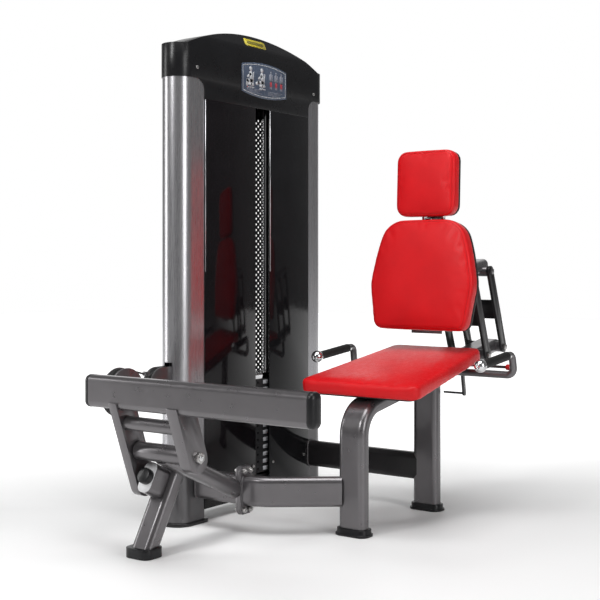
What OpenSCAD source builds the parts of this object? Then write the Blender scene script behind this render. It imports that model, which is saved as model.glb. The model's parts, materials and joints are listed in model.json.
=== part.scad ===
// Seated foot-press machine for the lower leg, with a selectorised weight tower.
// Millimetres. The origin is on the floor under the middle of the front seat foot.
// +X is the sitter's left, +Y points behind the sitter, +Z is up.

/* [Frame tube] */
// Long side of the flat-oval frame tube
tube_long = 100; // [96:1:104]
// Short side of the flat-oval frame tube
tube_short = 50; // [48:1:52]
// Corner radius of the frame tube
tube_r = 20; // [14:1:22]
// Wall of every tube
tube_wall = 3; // [2:0.5:4]

/* [Weight tower] */
// Middle of the tower across its width
tower_x = -580; // [-584:1:-576]
// Thickness of the tower across X
tower_t = 120; // [116:1:122]
// Foremost point of the tower
tower_front = -277; // [-280:1:-274]
// Rearmost point of the tower
tower_rear = 591; // [588:1:596]
// Back edge of the front column
front_column_back = -149; // [-152:1:-147]
// Front edge of the rear column
rear_column_front = 470; // [466:1:471]
// Height of the column tops
column_top = 1537; // [1530:1:1544]
// Bottom of the hood between the columns
hood_bottom = 1470; // [1455:1:1480]
// Height of the crease where the hood's crown starts
hood_crease = 1686; // [1680:1:1692]
// Highest point of the hood
hood_peak = 1735; // [1728:1:1742]
// Radius of the hood's arch, seen from the side
arch_r = 960; // [900:10:1050]
// Height of the hood at the tower's two ends
hood_end = 1653; // [1649:1:1658]

/* [Weight stack] */
// Number of weight plates
plate_count = 13; // [12:1:13]
// Number of plates that the selector pin lifts
lifted_count = 3; // [1:1:5]
// Step from one plate to the next
plate_pitch = 26.8; // [26:0.1:27]
// Length of a plate along Y
plate_l = 300; // [280:1:320]
// Width of a plate along X
plate_w = 88; // [84:1:92]
// Middle of the stack along Y
stack_y = 170; // [166:1:174]
// Diameter of a guide rod
guide_d = 25; // [22:0.5:26]

/* [Foot bar] */
// Left end of the foot bar's tube
bar_x0 = -528; // [-532:1:-524]
// Right end of the foot bar's tube
bar_x1 = 300; // [295:1:305]
// How far the end caps stand out
cap_len = 21; // [18:1:24]
// Middle of the foot bar along Y
bar_y = -667; // [-669:1:-665]
// Middle height of the foot bar
bar_z = 504; // [500:1:508]
// Height of the axis that the foot bar swings on
pivot_z = 322; // [320:1:324]
// Place of the axis along Y
pivot_y = -601; // [-603:1:-599]
// Depth of a swing arm
arm_depth = 80; // [78:1:84]
// Thickness of the right swing arm
arm_t = 42; // [38:1:42]
// Thickness of the left swing arm
left_arm_t = 32; // [28:1:34]

/* [Seat] */
// Tilt of the seat, rising to the back
seat_tilt = 9.4; // [9:0.1:9.8]
// Width of the seat at its front edge
seat_front_w = 455; // [440:1:460]
// Width of the seat at its back edge
seat_back_w = 362; // [350:1:370]
// Thickness of the seat cushion
seat_t = 50; // [46:1:52]
// Lean of the backrest
back_lean = 6; // [5:0.5:6.5]
// Thickness of the backrest cushion
back_t = 54; // [50:1:58]
// Width and height of the head cushion
head_w = 232; // [224:1:238]

/* [Backrest linkage] */
// Distance from the middle plane to the inside of a link
link_in = 70; // [69:1:72]
// Thickness of a link bar
link_t = 10; // [8:1:10]
// Width of a link bar
link_w = 42; // [38:1:44]
// Radius of the pins that the links turn on
link_pin_r = 8; // [7:0.5:9]

/* [Hidden] */
$fn = 48;

// Clearances
run_gap = 0.05;      // radial, for a pin that turns in its hole
fit_gap = 0.1;       // between pieces that butt together
small = 1;           // overrun of a cutter
weld_gap = 0.02;     // between the lengths of a welded tube

// Tower
half_t = tower_t / 2;
front_nose = tower_front + half_t;
rear_nose = tower_rear - half_t;
tower_mid = (tower_front + tower_rear) / 2;
column_wall = 3;
column_in = 3;
rear_column_nose = rear_nose - 6;
foot_top = 250;
foot_wall = 4;
base_t = 12;
shield_t = 4;
shield_bottom = 45;
smoked_edge = 136;
dark_edge = 220;
arch_y = tower_mid - 10;
crown_in = 28;
hood_wall = 3;
window_r = 40;
placard_y0 = 52;
placard_y1 = 322;
placard_z = 1574;
placard_t = 2;

// Stack
base_beam_z0 = 62;
base_beam_z1 = 112;
cushion_t = 10;
stack_z0 = base_beam_z1 + cushion_t;
stack_z1 = stack_z0 + plate_count * plate_pitch;
plate_gap = 0.6;
rod_offset = 103;
pin_z = stack_z1 - (lifted_count - 0.5) * plate_pitch;
selector_r = 12;
pin_r = 5;
head_t = 20;

// Cable and pulleys, all in the tower's middle plane
cable_r = 3;
arm_pulley_y = -490;
arm_pulley_z = 478;
arm_pulley_r = 78;
column_pulley_y = -318;
column_pulley_z = 485;
column_pulley_r = 61;
top_pulley_r = 51;
top_pulley_z = 1592;
groove_depth = 6;
groove_top = 7;
groove_low = 4;
cable_gap = 0.3;
pulley_t = 24;
axle_r = 8;
arm_cable_r = arm_pulley_r - groove_depth + cable_r + cable_gap;
column_cable_r = column_pulley_r - groove_depth + cable_r + cable_gap;
top_cable_r = top_pulley_r - groove_depth + cable_r + cable_gap;
riser_y = column_pulley_y + column_cable_r;
top_front_y = riser_y + top_cable_r;
top_rear_y = stack_y - top_cable_r;
anchor_y = -396;
anchor_z = 531;
top_plate_z = column_top + 8;

// Lower frame
frame_z = 141;
main_y = -178;
flange_x = -324;
flange_t = 10;
flange_bolt_z = 65;
flange_bolt_y = 15;
corner_x = -258;
leg_meet = [-42, -12];
curve_angle = atan2(leg_meet[1] - main_y, leg_meet[0] - corner_x);
curve_r = 130;
curve_tangent = curve_r * tan(curve_angle / 2);
rear_leg_y = 489;
rear_tube_z = 155;

// Swing arms
left_arm_x = -435;
right_arm_x = -200;
arm_lean = atan2(pivot_y - bar_y, bar_z - pivot_z);
left_tail = 115;
right_tail = 10;
housing_r = 28;
shaft_r = 15;
bush_r = 19;
bush_len = 40;
cross_y = -645;
cross_z = 411;
cross_r = 21;

// Support of the pivot
leg_x = -372;
leg_w = 76;
leg_d = 56;
leg_foot_y = -615;
leg_lean = 26.3;
leg_splay = 3.2;
leg_top = 318;
support_end = [-345, -196, 142];
support_start = [-300, -600, 316];
support_r = 30;
stub_at = 224;
stub_out = 95;
stub_side = -4;
bumper_r = 24;
bumper_t = 22;

// Seat and backrest
seat_y0 = 7;
seat_z0 = 504;
seat_len = 563.5;
board_t = 12;
seat_plate = 6;
beam_drop = seat_t + board_t + seat_plate + tube_short / 2;
beam_z0 = seat_z0 - seat_y0 * tan(seat_tilt) - beam_drop / cos(seat_tilt);
bend_r = 100;
bend_sweep = 90 - seat_tilt;
bend_end_y = bend_r - bend_r * sin(seat_tilt);
bend_z = beam_z0 + bend_end_y * tan(seat_tilt) - bend_r * cos(seat_tilt);
beam_end = 990;
front_pivot_y = 826;
rear_pivot_y = 965;
link_dy = -116;
link_dz = 300;
link_len = sqrt(link_dy * link_dy + link_dz * link_dz);
link_angle = atan2(-link_dy, link_dz);
boss_r = 20;
boss_half = 68;
upper_lift = 18;
back_y0 = 417;
back_z0 = 664;
back_h = 394;
back_plate_t = 8;
back_plate_half = 62;
head_y0 = 467;
head_z0 = 1076;
head_lean = 2.2;
head_t_pad = 50;
post_x = [-44, 36];
post_r = 8;
post_low = [0, 544, 1010];
post_high = [0, 547, 1215];

// Handles
handle_r = 13;
grip_r = 15.5;
ball_r = 22;
ball_at = [331, 261, 557];
grip_end = [331, 463, 577];
lever_y = 554;
lever_z = 529;
lever_r = 5;
lever_x0 = 56;
lever_x1 = 286;
crank_x = 104;
crank_len = 108;
crank_lean = 10;
lug_x = [62, 84];
lug_t = 6;
lug_r = 9;
lug_drop = 31;

function beam_z(y) = beam_z0 + y * tan(seat_tilt);

// ---------- shared shapes ----------

// Rounded rectangle with true arcs
module rrect(w, d, r) {
    square([w - 2 * r, d], center = true);
    square([w, d - 2 * r], center = true);
    for (sx = [-1, 1], sy = [-1, 1])
        translate([sx * (w / 2 - r), sy * (d / 2 - r)]) circle(r);
}

// Wall of a rounded rectangular tube
module rrect_ring(w, d, r, t) {
    difference() {
        rrect(w, d, r);
        rrect(w - 2 * t, d - 2 * t, r - t);
    }
}

// A profile drawn in (Y, Z), extruded along X
module yz(x0, x1) {
    translate([x0, 0, 0]) rotate([90, 0, 90]) linear_extrude(x1 - x0) children();
}

// A round bar along X
module rod_x(x0, x1, y, z, r) {
    translate([x0, y, z]) rotate([0, 90, 0]) cylinder(r = r, h = x1 - x0);
}

// A round bar between two points
module rod_between(a, b, r) {
    d = b - a;
    translate(a)
        rotate([0, acos(d[2] / norm(d)), atan2(d[1], d[0])])
            cylinder(r = r, h = norm(d));
}

// A hexagon head or nut along X
module hex_x(x0, x1, y, z, flats) {
    translate([x0, y, z]) rotate([0, 90, 0]) cylinder(r = flats / sqrt(3), h = x1 - x0, $fn = 6);
}

// A straight bar with round ends, drawn in 2D
module slot_shape(len, r) {
    circle(r);
    translate([0, -r]) square([len, 2 * r]);
    translate([len, 0]) circle(r);
}

// Plan of a column: a half-round nose and a square back
module column_plan(nose_y, back_y, inset) {
    y0 = min(nose_y, back_y);
    y1 = max(nose_y, back_y);
    reach = half_t - inset;
    intersection() {
        translate([tower_x, nose_y]) circle(reach);
        translate([tower_x - reach - 1, back_y < nose_y ? y0 : y0 - reach - 1])
            square([2 * reach + 2, y1 - y0 + reach + 1]);
    }
    translate([tower_x - reach, y0]) square([2 * reach, y1 - y0]);
}

// Plan of the whole tower
module tower_plan(inset) {
    for (y = [front_nose, rear_nose])
        translate([tower_x, y]) circle(half_t - inset);
    translate([tower_x - half_t + inset, front_nose])
        square([tower_t - 2 * inset, rear_nose - front_nose]);
}

// Places of a seat point: u along the seat, n above its top
module on_seat() {
    translate([0, seat_y0, seat_z0]) rotate([seat_tilt, 0, 0]) children();
}

module on_back() {
    translate([0, back_y0, back_z0]) rotate([-back_lean, 0, 0]) children();
}

module on_head() {
    translate([0, head_y0, head_z0]) rotate([-head_lean, 0, 0]) children();
}

// A V-grooved pulley, its axle along X
module pulley(y, z, r, bore) {
    translate([tower_x, y, z]) rotate([0, 90, 0])
        rotate_extrude()
            polygon([
                [bore, -pulley_t / 2], [r, -pulley_t / 2], [r, -groove_top], [r - groove_depth, -groove_low],
                [r - groove_depth, groove_low], [r, groove_top], [r, pulley_t / 2], [bore, pulley_t / 2]
            ]);
}

// Points of an arc in the tower's middle plane
function arc_points(y, z, r, a0, a1, n) =
    [for (i = [0:n]) let (a = a0 + (a1 - a0) * i / n) [tower_x, y + r * cos(a), z + r * sin(a)]];

// A round tube along a list of points, as one closed surface
function unit(v) = v / norm(v);
function tangent_at(p, i) =
    unit(i == 0 ? p[1] - p[0] : i == len(p) - 1 ? p[i] - p[i - 1]
        : unit(p[i + 1] - p[i]) + unit(p[i] - p[i - 1]));
module sweep(p, r, sides, up) {
    n = len(p);
    pts = [for (i = [0:n - 1])
        let (t = tangent_at(p, i), u = unit(cross(up, t)), v = cross(t, u))
        for (k = [0:sides - 1])
            let (a = 360 * k / sides) p[i] + r * (cos(a) * u + sin(a) * v)];
    walls = [for (i = [0:n - 2], k = [0:sides - 1])
        [i * sides + k, (i + 1) * sides + k,
            (i + 1) * sides + (k + 1) % sides, i * sides + (k + 1) % sides]];
    cap0 = [for (k = [0:sides - 1]) k];
    cap1 = [for (k = [sides - 1:-1:0]) (n - 1) * sides + k];
    polyhedron(pts, concat(walls, [cap0], [cap1]), convexity = 6);
}

// Quarter-like bend of n points that rounds the corner b of the path a-b-c
function round_corner(a, b, c, r, n) =
    let (u = unit(a - b), v = unit(c - b), half = acos(u * v) / 2,
         tl = r / tan(half), centre = b + unit(u + v) * r / sin(half),
         s = b + u * tl - centre, e = b + v * tl - centre, sweep_a = 180 - 2 * half)
    [for (i = [0:n]) let (f = i / n)
        centre + (sin((1 - f) * sweep_a) * s + sin(f * sweep_a) * e) / sin(sweep_a)];

// ---------- weight tower ----------

module front_column() {
    color("silver") difference() {
        translate([0, 0, foot_top]) linear_extrude(column_top - foot_top)
            difference() {
                column_plan(front_nose, front_column_back, column_in);
                column_plan(front_nose, front_column_back - column_wall, column_in + column_wall);
            }
        // slot that the outer pulley reaches through
        translate([tower_x - 18, tower_front - small, column_pulley_z - 75])
            cube([36, 40, 150]);
    }
}

module rear_column() {
    color("silver") translate([0, 0, foot_top]) linear_extrude(column_top - foot_top)
        difference() {
            column_plan(rear_column_nose, rear_column_front, column_in);
            column_plan(rear_column_nose, rear_column_front + column_wall, column_in + column_wall);
        }
}

module column_feet() {
    color("dimgray") translate([0, 0, base_t]) linear_extrude(foot_top - base_t) {
        difference() {
            column_plan(front_nose, front_column_back, column_in);
            column_plan(front_nose, front_column_back - foot_wall, column_in + foot_wall);
        }
        difference() {
            column_plan(rear_column_nose, rear_column_front, column_in);
            column_plan(rear_column_nose, rear_column_front + foot_wall, column_in + foot_wall);
        }
    }
}

module base_plates() {
    color([0.06, 0.06, 0.07]) linear_extrude(base_t) {
        column_plan(front_nose, front_column_back + 12, -5);
        column_plan(rear_nose, rear_column_front - 12, -5);
    }
}

module tower_base() {
    color("dimgray") difference() {
        translate([tower_x - 40, front_column_back + fit_gap, base_beam_z0])
            cube([80, rear_column_front - front_column_back - 2 * fit_gap, base_beam_z1 - base_beam_z0]);
        translate([tower_x - 36, front_column_back - small, base_beam_z0 - small])
            cube([72, rear_column_front - front_column_back + 2 * small,
                base_beam_z1 - base_beam_z0 - 4 + small]);
    }
}

module top_beam() {
    color("dimgray") difference() {
        union() {
            translate([tower_x - 45, riser_y + 10, column_top])
                cube([90, rear_nose + 20 - riser_y - 10, top_plate_z - column_top]);
            for (s = [-1, 1])
                translate([tower_x + s * 20 - 3, riser_y + 10, top_plate_z])
                    cube([6, rear_nose - riser_y, 70]);
            for (y = [top_front_y, top_rear_y])
                rod_x(tower_x - 23, tower_x + 23, y, top_pulley_z, axle_r - run_gap);
        }
        for (s = [-1, 1])
            translate([tower_x, stack_y + s * rod_offset, column_top - small])
                cylinder(r = guide_d / 2 + run_gap, h = 12);
        translate([tower_x, stack_y, column_top - small]) cylinder(r = 14, h = 12);
        for (y = [top_front_y, top_rear_y])
            translate([tower_x - 15, y - 56, top_pulley_z - 56])
                cube([30, 112, top_plate_z - top_pulley_z + 56 + 0.001]);
    }
}

module arch_profile(inset) {
    intersection() {
        translate([tower_front + 40, hood_bottom - 40])
            square([tower_rear - tower_front - 60, hood_peak - hood_bottom + 80]);
        translate([arch_y, hood_peak - arch_r]) circle(arch_r - inset, $fn = 180);
    }
    translate([tower_front - 20, hood_bottom - 40])
        square([tower_rear - tower_front + 40, hood_end - inset - hood_bottom + 40]);
}

module crown_profile(inset) {
    polygon([
        [tower_x - half_t - 20, hood_bottom - 50], [tower_x + half_t + 20, hood_bottom - 50],
        [tower_x + half_t + 20, hood_crease - 60], [tower_x + half_t - inset, hood_crease - inset / 2],
        [tower_x + half_t - crown_in - inset, hood_peak + 10],
            [tower_x - half_t + crown_in + inset, hood_peak + 10],
        [tower_x - half_t + inset, hood_crease - inset / 2], [tower_x - half_t - 20, hood_crease - 60]
    ]);
}

module hood_solid(inset, z0) {
    intersection() {
        translate([0, 0, z0]) linear_extrude(hood_peak + 20 - z0) tower_plan(inset);
        yz(tower_x - half_t - 10, tower_x + half_t + 10) arch_profile(inset);
        translate([0, tower_rear + 10, 0]) rotate([90, 0, 0])
            linear_extrude(tower_rear - tower_front + 20) crown_profile(inset);
    }
}

// Opening of the hood over a column, with rounded corners
module column_window(y0, y1) {
    h = 2 * (column_top - hood_bottom + 1);
    yz(tower_x - half_t - small, tower_x + half_t + small)
        translate([(y0 + y1) / 2, column_top - h / 2]) rrect(y1 - y0, h, window_r);
}

module hood() {
    color([0.05, 0.05, 0.06]) difference() {
        hood_solid(0, hood_bottom);
        hood_solid(hood_wall, hood_bottom - small);
        column_window(tower_front - 60, front_column_back);
        column_window(rear_column_front, tower_rear + 60);
    }
}

module placard() {
    mid = (placard_y0 + placard_y1) / 2;
    color("slategray") yz(tower_x + half_t, tower_x + half_t + placard_t)
        intersection() {
            translate([placard_y0, placard_z - 70]) square([placard_y1 - placard_y0, 140]);
            translate([mid, placard_z + 65 - 615]) circle(615, $fn = 180);
            translate([mid, placard_z - 65 + 615]) circle(615, $fn = 180);
        }
}

module shield(y0, y1) {
    translate([tower_x + half_t - shield_t, y0, shield_bottom])
        cube([shield_t, y1 - y0, hood_bottom - shield_bottom]);
}

module smoked_shield() {
    color([0.1, 0.1, 0.12]) shield(front_column_back, smoked_edge);
}

module dark_shield() {
    color([0.12, 0.12, 0.13]) shield(dark_edge, rear_column_front);
}

module perforated_guard() {
    rows = 30;
    color([0.04, 0.04, 0.05]) difference() {
        translate([tower_x - half_t, front_column_back, shield_bottom])
            cube([2, rear_column_front - front_column_back, hood_bottom - shield_bottom]);
        for (i = [0:rows - 1], k = [0:1])
            rod_x(tower_x - half_t - small, tower_x - half_t + 3, dark_edge + 68 + 34 * k + (i % 2) * 17,
                stack_z1 + 20 + i * 32, 7);
    }
}

// Screws of the hood and the shields
module shell_screws() {
    color("silver") {
        for (at = [[front_column_back - 42, column_top + 37], [rear_column_front + 34, column_top + 28]])
            rod_x(tower_x + half_t, tower_x + half_t + 3, at[0], at[1], 6);
        for (y = [smoked_edge - 14, dark_edge + 20, rear_column_front - 30], z = [shield_bottom + 110])
            rod_x(tower_x + half_t, tower_x + half_t + 3, y, z, 5);
    }
}

module guide_rods() {
    color("gainsboro") for (s = [-1, 1])
        translate([tower_x, stack_y + s * rod_offset, base_beam_z1])
            cylinder(r = guide_d / 2, h = top_plate_z - base_beam_z1);
}

module stack_cushions() {
    color([0.05, 0.05, 0.05]) for (s = [-1, 1])
        translate([tower_x, stack_y + s * rod_offset, base_beam_z1]) difference() {
            cylinder(r = 30, h = cushion_t);
            translate([0, 0, -small]) cylinder(r = guide_d / 2 + 0.3, h = cushion_t + 2 * small);
        }
}

// One weight plate, by its number from the bottom
module weight_plate(i) {
    z0 = stack_z0 + i * plate_pitch;
    h = plate_pitch - plate_gap;
    difference() {
        translate([tower_x - plate_w / 2, stack_y - plate_l / 2, z0]) cube([plate_w, plate_l, h]);
        for (s = [-1, 1])
            translate([tower_x, stack_y + s * rod_offset, z0 - small])
                cylinder(r = guide_d / 2 + 0.5, h = h + 2 * small);
        translate([tower_x, stack_y, z0 - small]) cylinder(r = selector_r + 1, h = h + 2 * small);
        rod_x(tower_x, tower_x + plate_w / 2 + small, stack_y, z0 + plate_pitch / 2, pin_r + 0.4);
    }
}

module resting_weights() {
    color([0.08, 0.08, 0.08]) for (i = [0:plate_count - lifted_count - 1]) weight_plate(i);
}

module lifted_weights() {
    color([0.08, 0.08, 0.08]) for (i = [plate_count - lifted_count:plate_count - 1]) weight_plate(i);
}

// Head block over the plates, the drilled rod that hangs from it, and its eye for the cable
module selector_rod() {
    color("silver") difference() {
        union() {
            translate([tower_x - plate_w / 2, stack_y - plate_l / 2, stack_z1])
                cube([plate_w, plate_l, head_t]);
            translate([tower_x, stack_y, stack_z0 + 4]) cylinder(r = selector_r, h = stack_z1 - stack_z0);
            translate([tower_x, stack_y, stack_z1 + head_t]) cylinder(r = 11, h = 26);
        }
        for (s = [-1, 1])
            translate([tower_x, stack_y + s * rod_offset, stack_z1 - small])
                cylinder(r = guide_d / 2 + 0.5, h = head_t + 2 * small);
        for (i = [0:plate_count - 1])
            rod_x(tower_x - selector_r - small, tower_x + selector_r + small, stack_y,
                stack_z0 + (i + 0.5) * plate_pitch, pin_r + run_gap);
    }
}

module selector_pin() {
    color("red") {
        rod_x(tower_x - selector_r + 1, tower_x + plate_w / 2 + 4, stack_y, pin_z, pin_r);
        rod_x(tower_x + plate_w / 2 + 1, tower_x + plate_w / 2 + 13, stack_y, pin_z, 11);
    }
}

module top_front_pulley() {
    color([0.1, 0.1, 0.1]) pulley(top_front_y, top_pulley_z, top_pulley_r, axle_r);
}

module top_rear_pulley() {
    color([0.1, 0.1, 0.1]) pulley(top_rear_y, top_pulley_z, top_pulley_r, axle_r);
}

// ---------- lower frame ----------

module main_tube() {
    x0 = tower_x + half_t;
    color("gray") difference() {
        translate([0, main_y, frame_z]) yz(x0, flange_x - flange_t)
            rrect_ring(tube_short, tube_long, tube_r, tube_wall);
        rod_between(support_start, support_end, support_r);
    }
}

module flange_plate(x0) {
    difference() {
        yz(x0, x0 + flange_t) polygon([
            [main_y - 32, frame_z - 64], [main_y - 20, frame_z - 80], [main_y + 20, frame_z - 80],
            [main_y + 32, frame_z - 64], [main_y + 32, frame_z + 64], [main_y + 20, frame_z + 80],
            [main_y - 20, frame_z + 80], [main_y - 32, frame_z + 64]
        ]);
        for (sy = [-1, 1], sz = [-1, 1])
            rod_x(x0 - small, x0 + flange_t + small,
                main_y + sy * flange_bolt_y, frame_z + sz * flange_bolt_z, 5.1);
    }
}

module flange_plates() {
    color("gray") difference() {
        union() {
            flange_plate(flange_x - flange_t);
            flange_plate(flange_x + 0.2);
        }
        rod_between(support_start, support_end, support_r);
    }
}

module frame_fasteners() {
    shell_screws();
    color("silver") for (sy = [-1, 1], sz = [-1, 1]) {
        y = main_y + sy * flange_bolt_y;
        z = frame_z + sz * flange_bolt_z;
        rod_x(flange_x - flange_t - 14, flange_x + flange_t + 14, y, z, 5);
        hex_x(flange_x - flange_t - 8, flange_x - flange_t, y, z, 17);
        hex_x(flange_x + flange_t + 0.2, flange_x + flange_t + 9, y, z, 17);
    }
}

module front_leg_outer() {
    translate([0, 0, 20]) linear_extrude(bend_z - 20) rrect(tube_long, tube_short, tube_r);
}

// Path of the curved tube with a section of the given inset
module curved_tube_body(inset) {
    w = tube_short - 2 * inset;
    h = tube_long - 2 * inset;
    r = tube_r - inset;
    x0 = flange_x + flange_t + 0.2;
    straight = norm(leg_meet - [corner_x, main_y]) - curve_tangent;
    translate([0, main_y, frame_z]) yz(x0, corner_x - curve_tangent - weld_gap) rrect(w, h, r);
    translate([corner_x - curve_tangent, main_y + curve_r, frame_z]) rotate([0, 0, -90])
        rotate_extrude(angle = curve_angle) translate([curve_r, 0]) rrect(w, h, r);
    translate([corner_x, main_y, frame_z]) rotate([0, 0, curve_angle])
        yz(curve_tangent + weld_gap, curve_tangent + straight) rrect(w, h, r);
}

module curved_tube() {
    color("gray") difference() {
        curved_tube_body(0);
        curved_tube_body(tube_wall);
        front_leg_outer();
        translate([-20, -200, 0]) cube([200, 400, 300]);
    }
}

// Front leg, bend and seat beam in one bent tube, with the bosses of the backrest pivots
module seat_tube_body(inset) {
    w = tube_long - 2 * inset;
    d = tube_short - 2 * inset;
    r = tube_r - inset;
    translate([0, 0, 8]) linear_extrude(bend_z - 8 - weld_gap) rrect(w, d, r);
    translate([0, bend_r, bend_z]) rotate([90, 0, -90])
        rotate_extrude(angle = bend_sweep) translate([bend_r, 0]) rrect(d, w, r);
    translate([0, bend_end_y, beam_z(bend_end_y)]) rotate([seat_tilt, 0, 0]) rotate([-90, 0, 0])
        translate([0, 0, weld_gap])
            linear_extrude((beam_end - bend_end_y) / cos(seat_tilt) - weld_gap) rrect(w, d, r);
}

module seat_frame() {
    color("gray") difference() {
        union() {
            difference() {
                seat_tube_body(0);
                seat_tube_body(tube_wall);
            }
            for (y = [front_pivot_y, rear_pivot_y])
                rod_x(-boss_half, boss_half, y, beam_z(y), boss_r);
            // end wall
            translate([0, beam_end, beam_z(beam_end)]) rotate([seat_tilt, 0, 0]) rotate([-90, 0, 0])
                translate([0, 0, -5]) linear_extrude(5) rrect(tube_long - 2, tube_short - 2, tube_r - 1);
        }
        for (y = [front_pivot_y, rear_pivot_y])
            rod_x(-boss_half - small, boss_half + small, y, beam_z(y), link_pin_r + run_gap);
    }
}

// Side bar with two lugs that the release lever turns in
module lever_bracket() {
    color("dimgray") difference() {
        union() {
            translate([tube_long / 2, lever_y - 14, lever_z - lug_drop])
                cube([lug_x[1] + lug_t - tube_long / 2, 28, 5]);
            for (x = lug_x) yz(x, x + lug_t) {
                translate([lever_y, lever_z]) circle(lug_r);
                translate([lever_y - lug_r, lever_z - lug_drop]) square([2 * lug_r, lug_drop]);
            }
        }
        rod_x(lug_x[0] - small, lug_x[1] + lug_t + small, lever_y, lever_z, lever_r + run_gap);
    }
}

module rear_leg() {
    color("gray") difference() {
        translate([0, rear_leg_y, 8]) linear_extrude(beam_z(rear_leg_y) - 8)
            rrect_ring(tube_long, tube_short, tube_r, tube_wall);
        translate([0, rear_leg_y, beam_z(rear_leg_y)]) rotate([seat_tilt, 0, 0])
            translate([-80, -80, -tube_short / 2]) cube([160, 160, 100]);
    }
}

module rear_cross_tube() {
    color([0.09, 0.09, 0.1]) difference() {
        translate([0, rear_leg_y, rear_tube_z]) yz(tower_x + half_t, -20)
            rrect_ring(tube_short, tube_long - 2, tube_r, tube_wall);
        translate([0, rear_leg_y, 0]) linear_extrude(400) rrect(tube_long, tube_short, tube_r);
    }
}

module support_arm() {
    color("gray") difference() {
        rod_between(support_start, support_end, support_r);
        rod_between(support_start, support_end, support_r - 4);
        rod_x(-420, -180, pivot_y, pivot_z, housing_r);
        translate([-600, main_y, 0]) cube([600, 200, 400]);
    }
}

module on_leg() {
    translate([leg_x, leg_foot_y, 0]) rotate([-leg_lean, leg_splay, 0]) children();
}

module slanted_leg() {
    color("gray") difference() {
        on_leg() translate([0, 0, 16]) linear_extrude(leg_top - 16)
            rrect_ring(leg_w, leg_d, tube_r, tube_wall);
        rod_between(support_start, support_end, support_r);
        translate([-500, -700, -50]) cube([300, 200, 64]);
    }
}

module pivot_housing() {
    color("gray") difference() {
        rod_x(left_arm_x + left_arm_t + 4, right_arm_x - 4, pivot_y, pivot_z, housing_r);
        rod_x(left_arm_x, right_arm_x, pivot_y, pivot_z, bush_r);
    }
}

module pivot_bushes() {
    x0 = left_arm_x + left_arm_t;
    color("goldenrod") difference() {
        for (x = [x0 + 4, right_arm_x - 4 - bush_len])
            rod_x(x, x + bush_len, pivot_y, pivot_z, bush_r);
        rod_x(x0 - small, right_arm_x + small, pivot_y, pivot_z, shaft_r + run_gap);
    }
}

module bumper_block() {
    color("gainsboro") on_leg() translate([stub_side, 0, stub_at]) rotate([90, 0, 0])
        translate([0, 0, leg_d / 2]) linear_extrude(stub_out - leg_d / 2)
            rrect(tube_short, tube_long - 4, tube_r);
}

module bumper() {
    color([0.07, 0.07, 0.07]) on_leg() translate([stub_side, -stub_out, stub_at]) rotate([90, 0, 0])
        rotate_extrude() polygon([
            [0, 0], [bumper_r, 0], [bumper_r + 1, bumper_t / 2], [bumper_r, bumper_t],
            [bumper_r - 4, bumper_t + 2], [0, bumper_t + 2]
        ]);
}

module boot(x, y, w, d) {
    translate([x, y, 0]) {
        linear_extrude(8) rrect(w + 26, d + 26, tube_r + 10);
        translate([0, 0, 8]) linear_extrude(16) difference() {
            rrect(w + 16, d + 16, tube_r + 6);
            rrect(w, d, tube_r);
        }
    }
}

module rubber_feet() {
    color([0.07, 0.07, 0.07]) {
        boot(0, 0, tube_long, tube_short);
        boot(0, rear_leg_y, tube_long, tube_short);
        difference() {
            translate([leg_x, leg_foot_y + 8, 0]) linear_extrude(30)
                rrect(leg_w + 24, leg_d + 30, tube_r + 8);
            on_leg() translate([0, 0, 16]) linear_extrude(80)
                rrect(leg_w + 2 * fit_gap, leg_d + 2 * fit_gap, tube_r + fit_gap);
        }
    }
}

// Two cheeks on the tower's front that hold the outer pulley and the cable's fixed end
module column_bracket() {
    nose = column_pulley_y - column_pulley_r - 2;
    color("gray") difference() {
        union() {
            for (s = [-1, 1])
                yz(tower_x + s * 15.5 - 2.5, tower_x + s * 15.5 + 2.5) {
                    translate([column_pulley_y, column_pulley_z]) circle(column_pulley_r + 2);
                    translate([column_pulley_y, column_pulley_z - 50])
                        square([tower_front + 10 - column_pulley_y, 50 + column_pulley_r + 2]);
                }
            rod_x(tower_x - 13, tower_x + 13, column_pulley_y, column_pulley_z, axle_r - run_gap);
            // lug and threaded stud that hold the fixed end of the cable
            translate([tower_x - 13, nose - 3, anchor_z - 8]) cube([26, 8, 14]);
        }
        linear_extrude(800) column_plan(front_nose, front_column_back, column_in);
    }
}

module column_pulley() {
    color([0.1, 0.1, 0.1]) pulley(column_pulley_y, column_pulley_z, column_pulley_r, axle_r);
}

// ---------- foot bar and its swing arms ----------

module foot_bar() {
    color("silver") translate([0, bar_y, bar_z]) yz(bar_x0, bar_x1)
        rrect_ring(tube_short, tube_long, tube_r, tube_wall);
}

module bar_caps() {
    color([0.06, 0.06, 0.06]) translate([0, bar_y, bar_z]) for (s = [0, 1])
        translate([s == 0 ? bar_x0 : bar_x1, 0, 0]) rotate([0, 0, s * 180]) {
            yz(-cap_len * 0.55, 0) rrect(tube_short + 1, tube_long + 1, tube_r);
            yz(-cap_len * 0.85, -cap_len * 0.55) rrect(tube_short - 6, tube_long - 6, tube_r - 3);
            yz(-cap_len, -cap_len * 0.85) rrect(tube_short - 16, tube_long - 16, tube_r - 8);
        }
}

// Side outline of a swing arm, from its tail to the foot bar
module arm_shape(tail) {
    difference() {
        translate([pivot_y, pivot_z]) rotate([0, 0, 90 + arm_lean]) {
            translate([-tail, 0]) circle(arm_depth / 2);
            translate([-tail, -arm_depth / 2]) square([tail + 200, arm_depth]);
        }
        translate([bar_y - 100, bar_z - 6]) square([300, 200]);
        translate([bar_y, bar_z]) rrect(tube_short, tube_long, tube_r);
        translate([bar_y - 100, bar_z - tube_long / 2 + tube_r]) square([100, 100]);
    }
}

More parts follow.
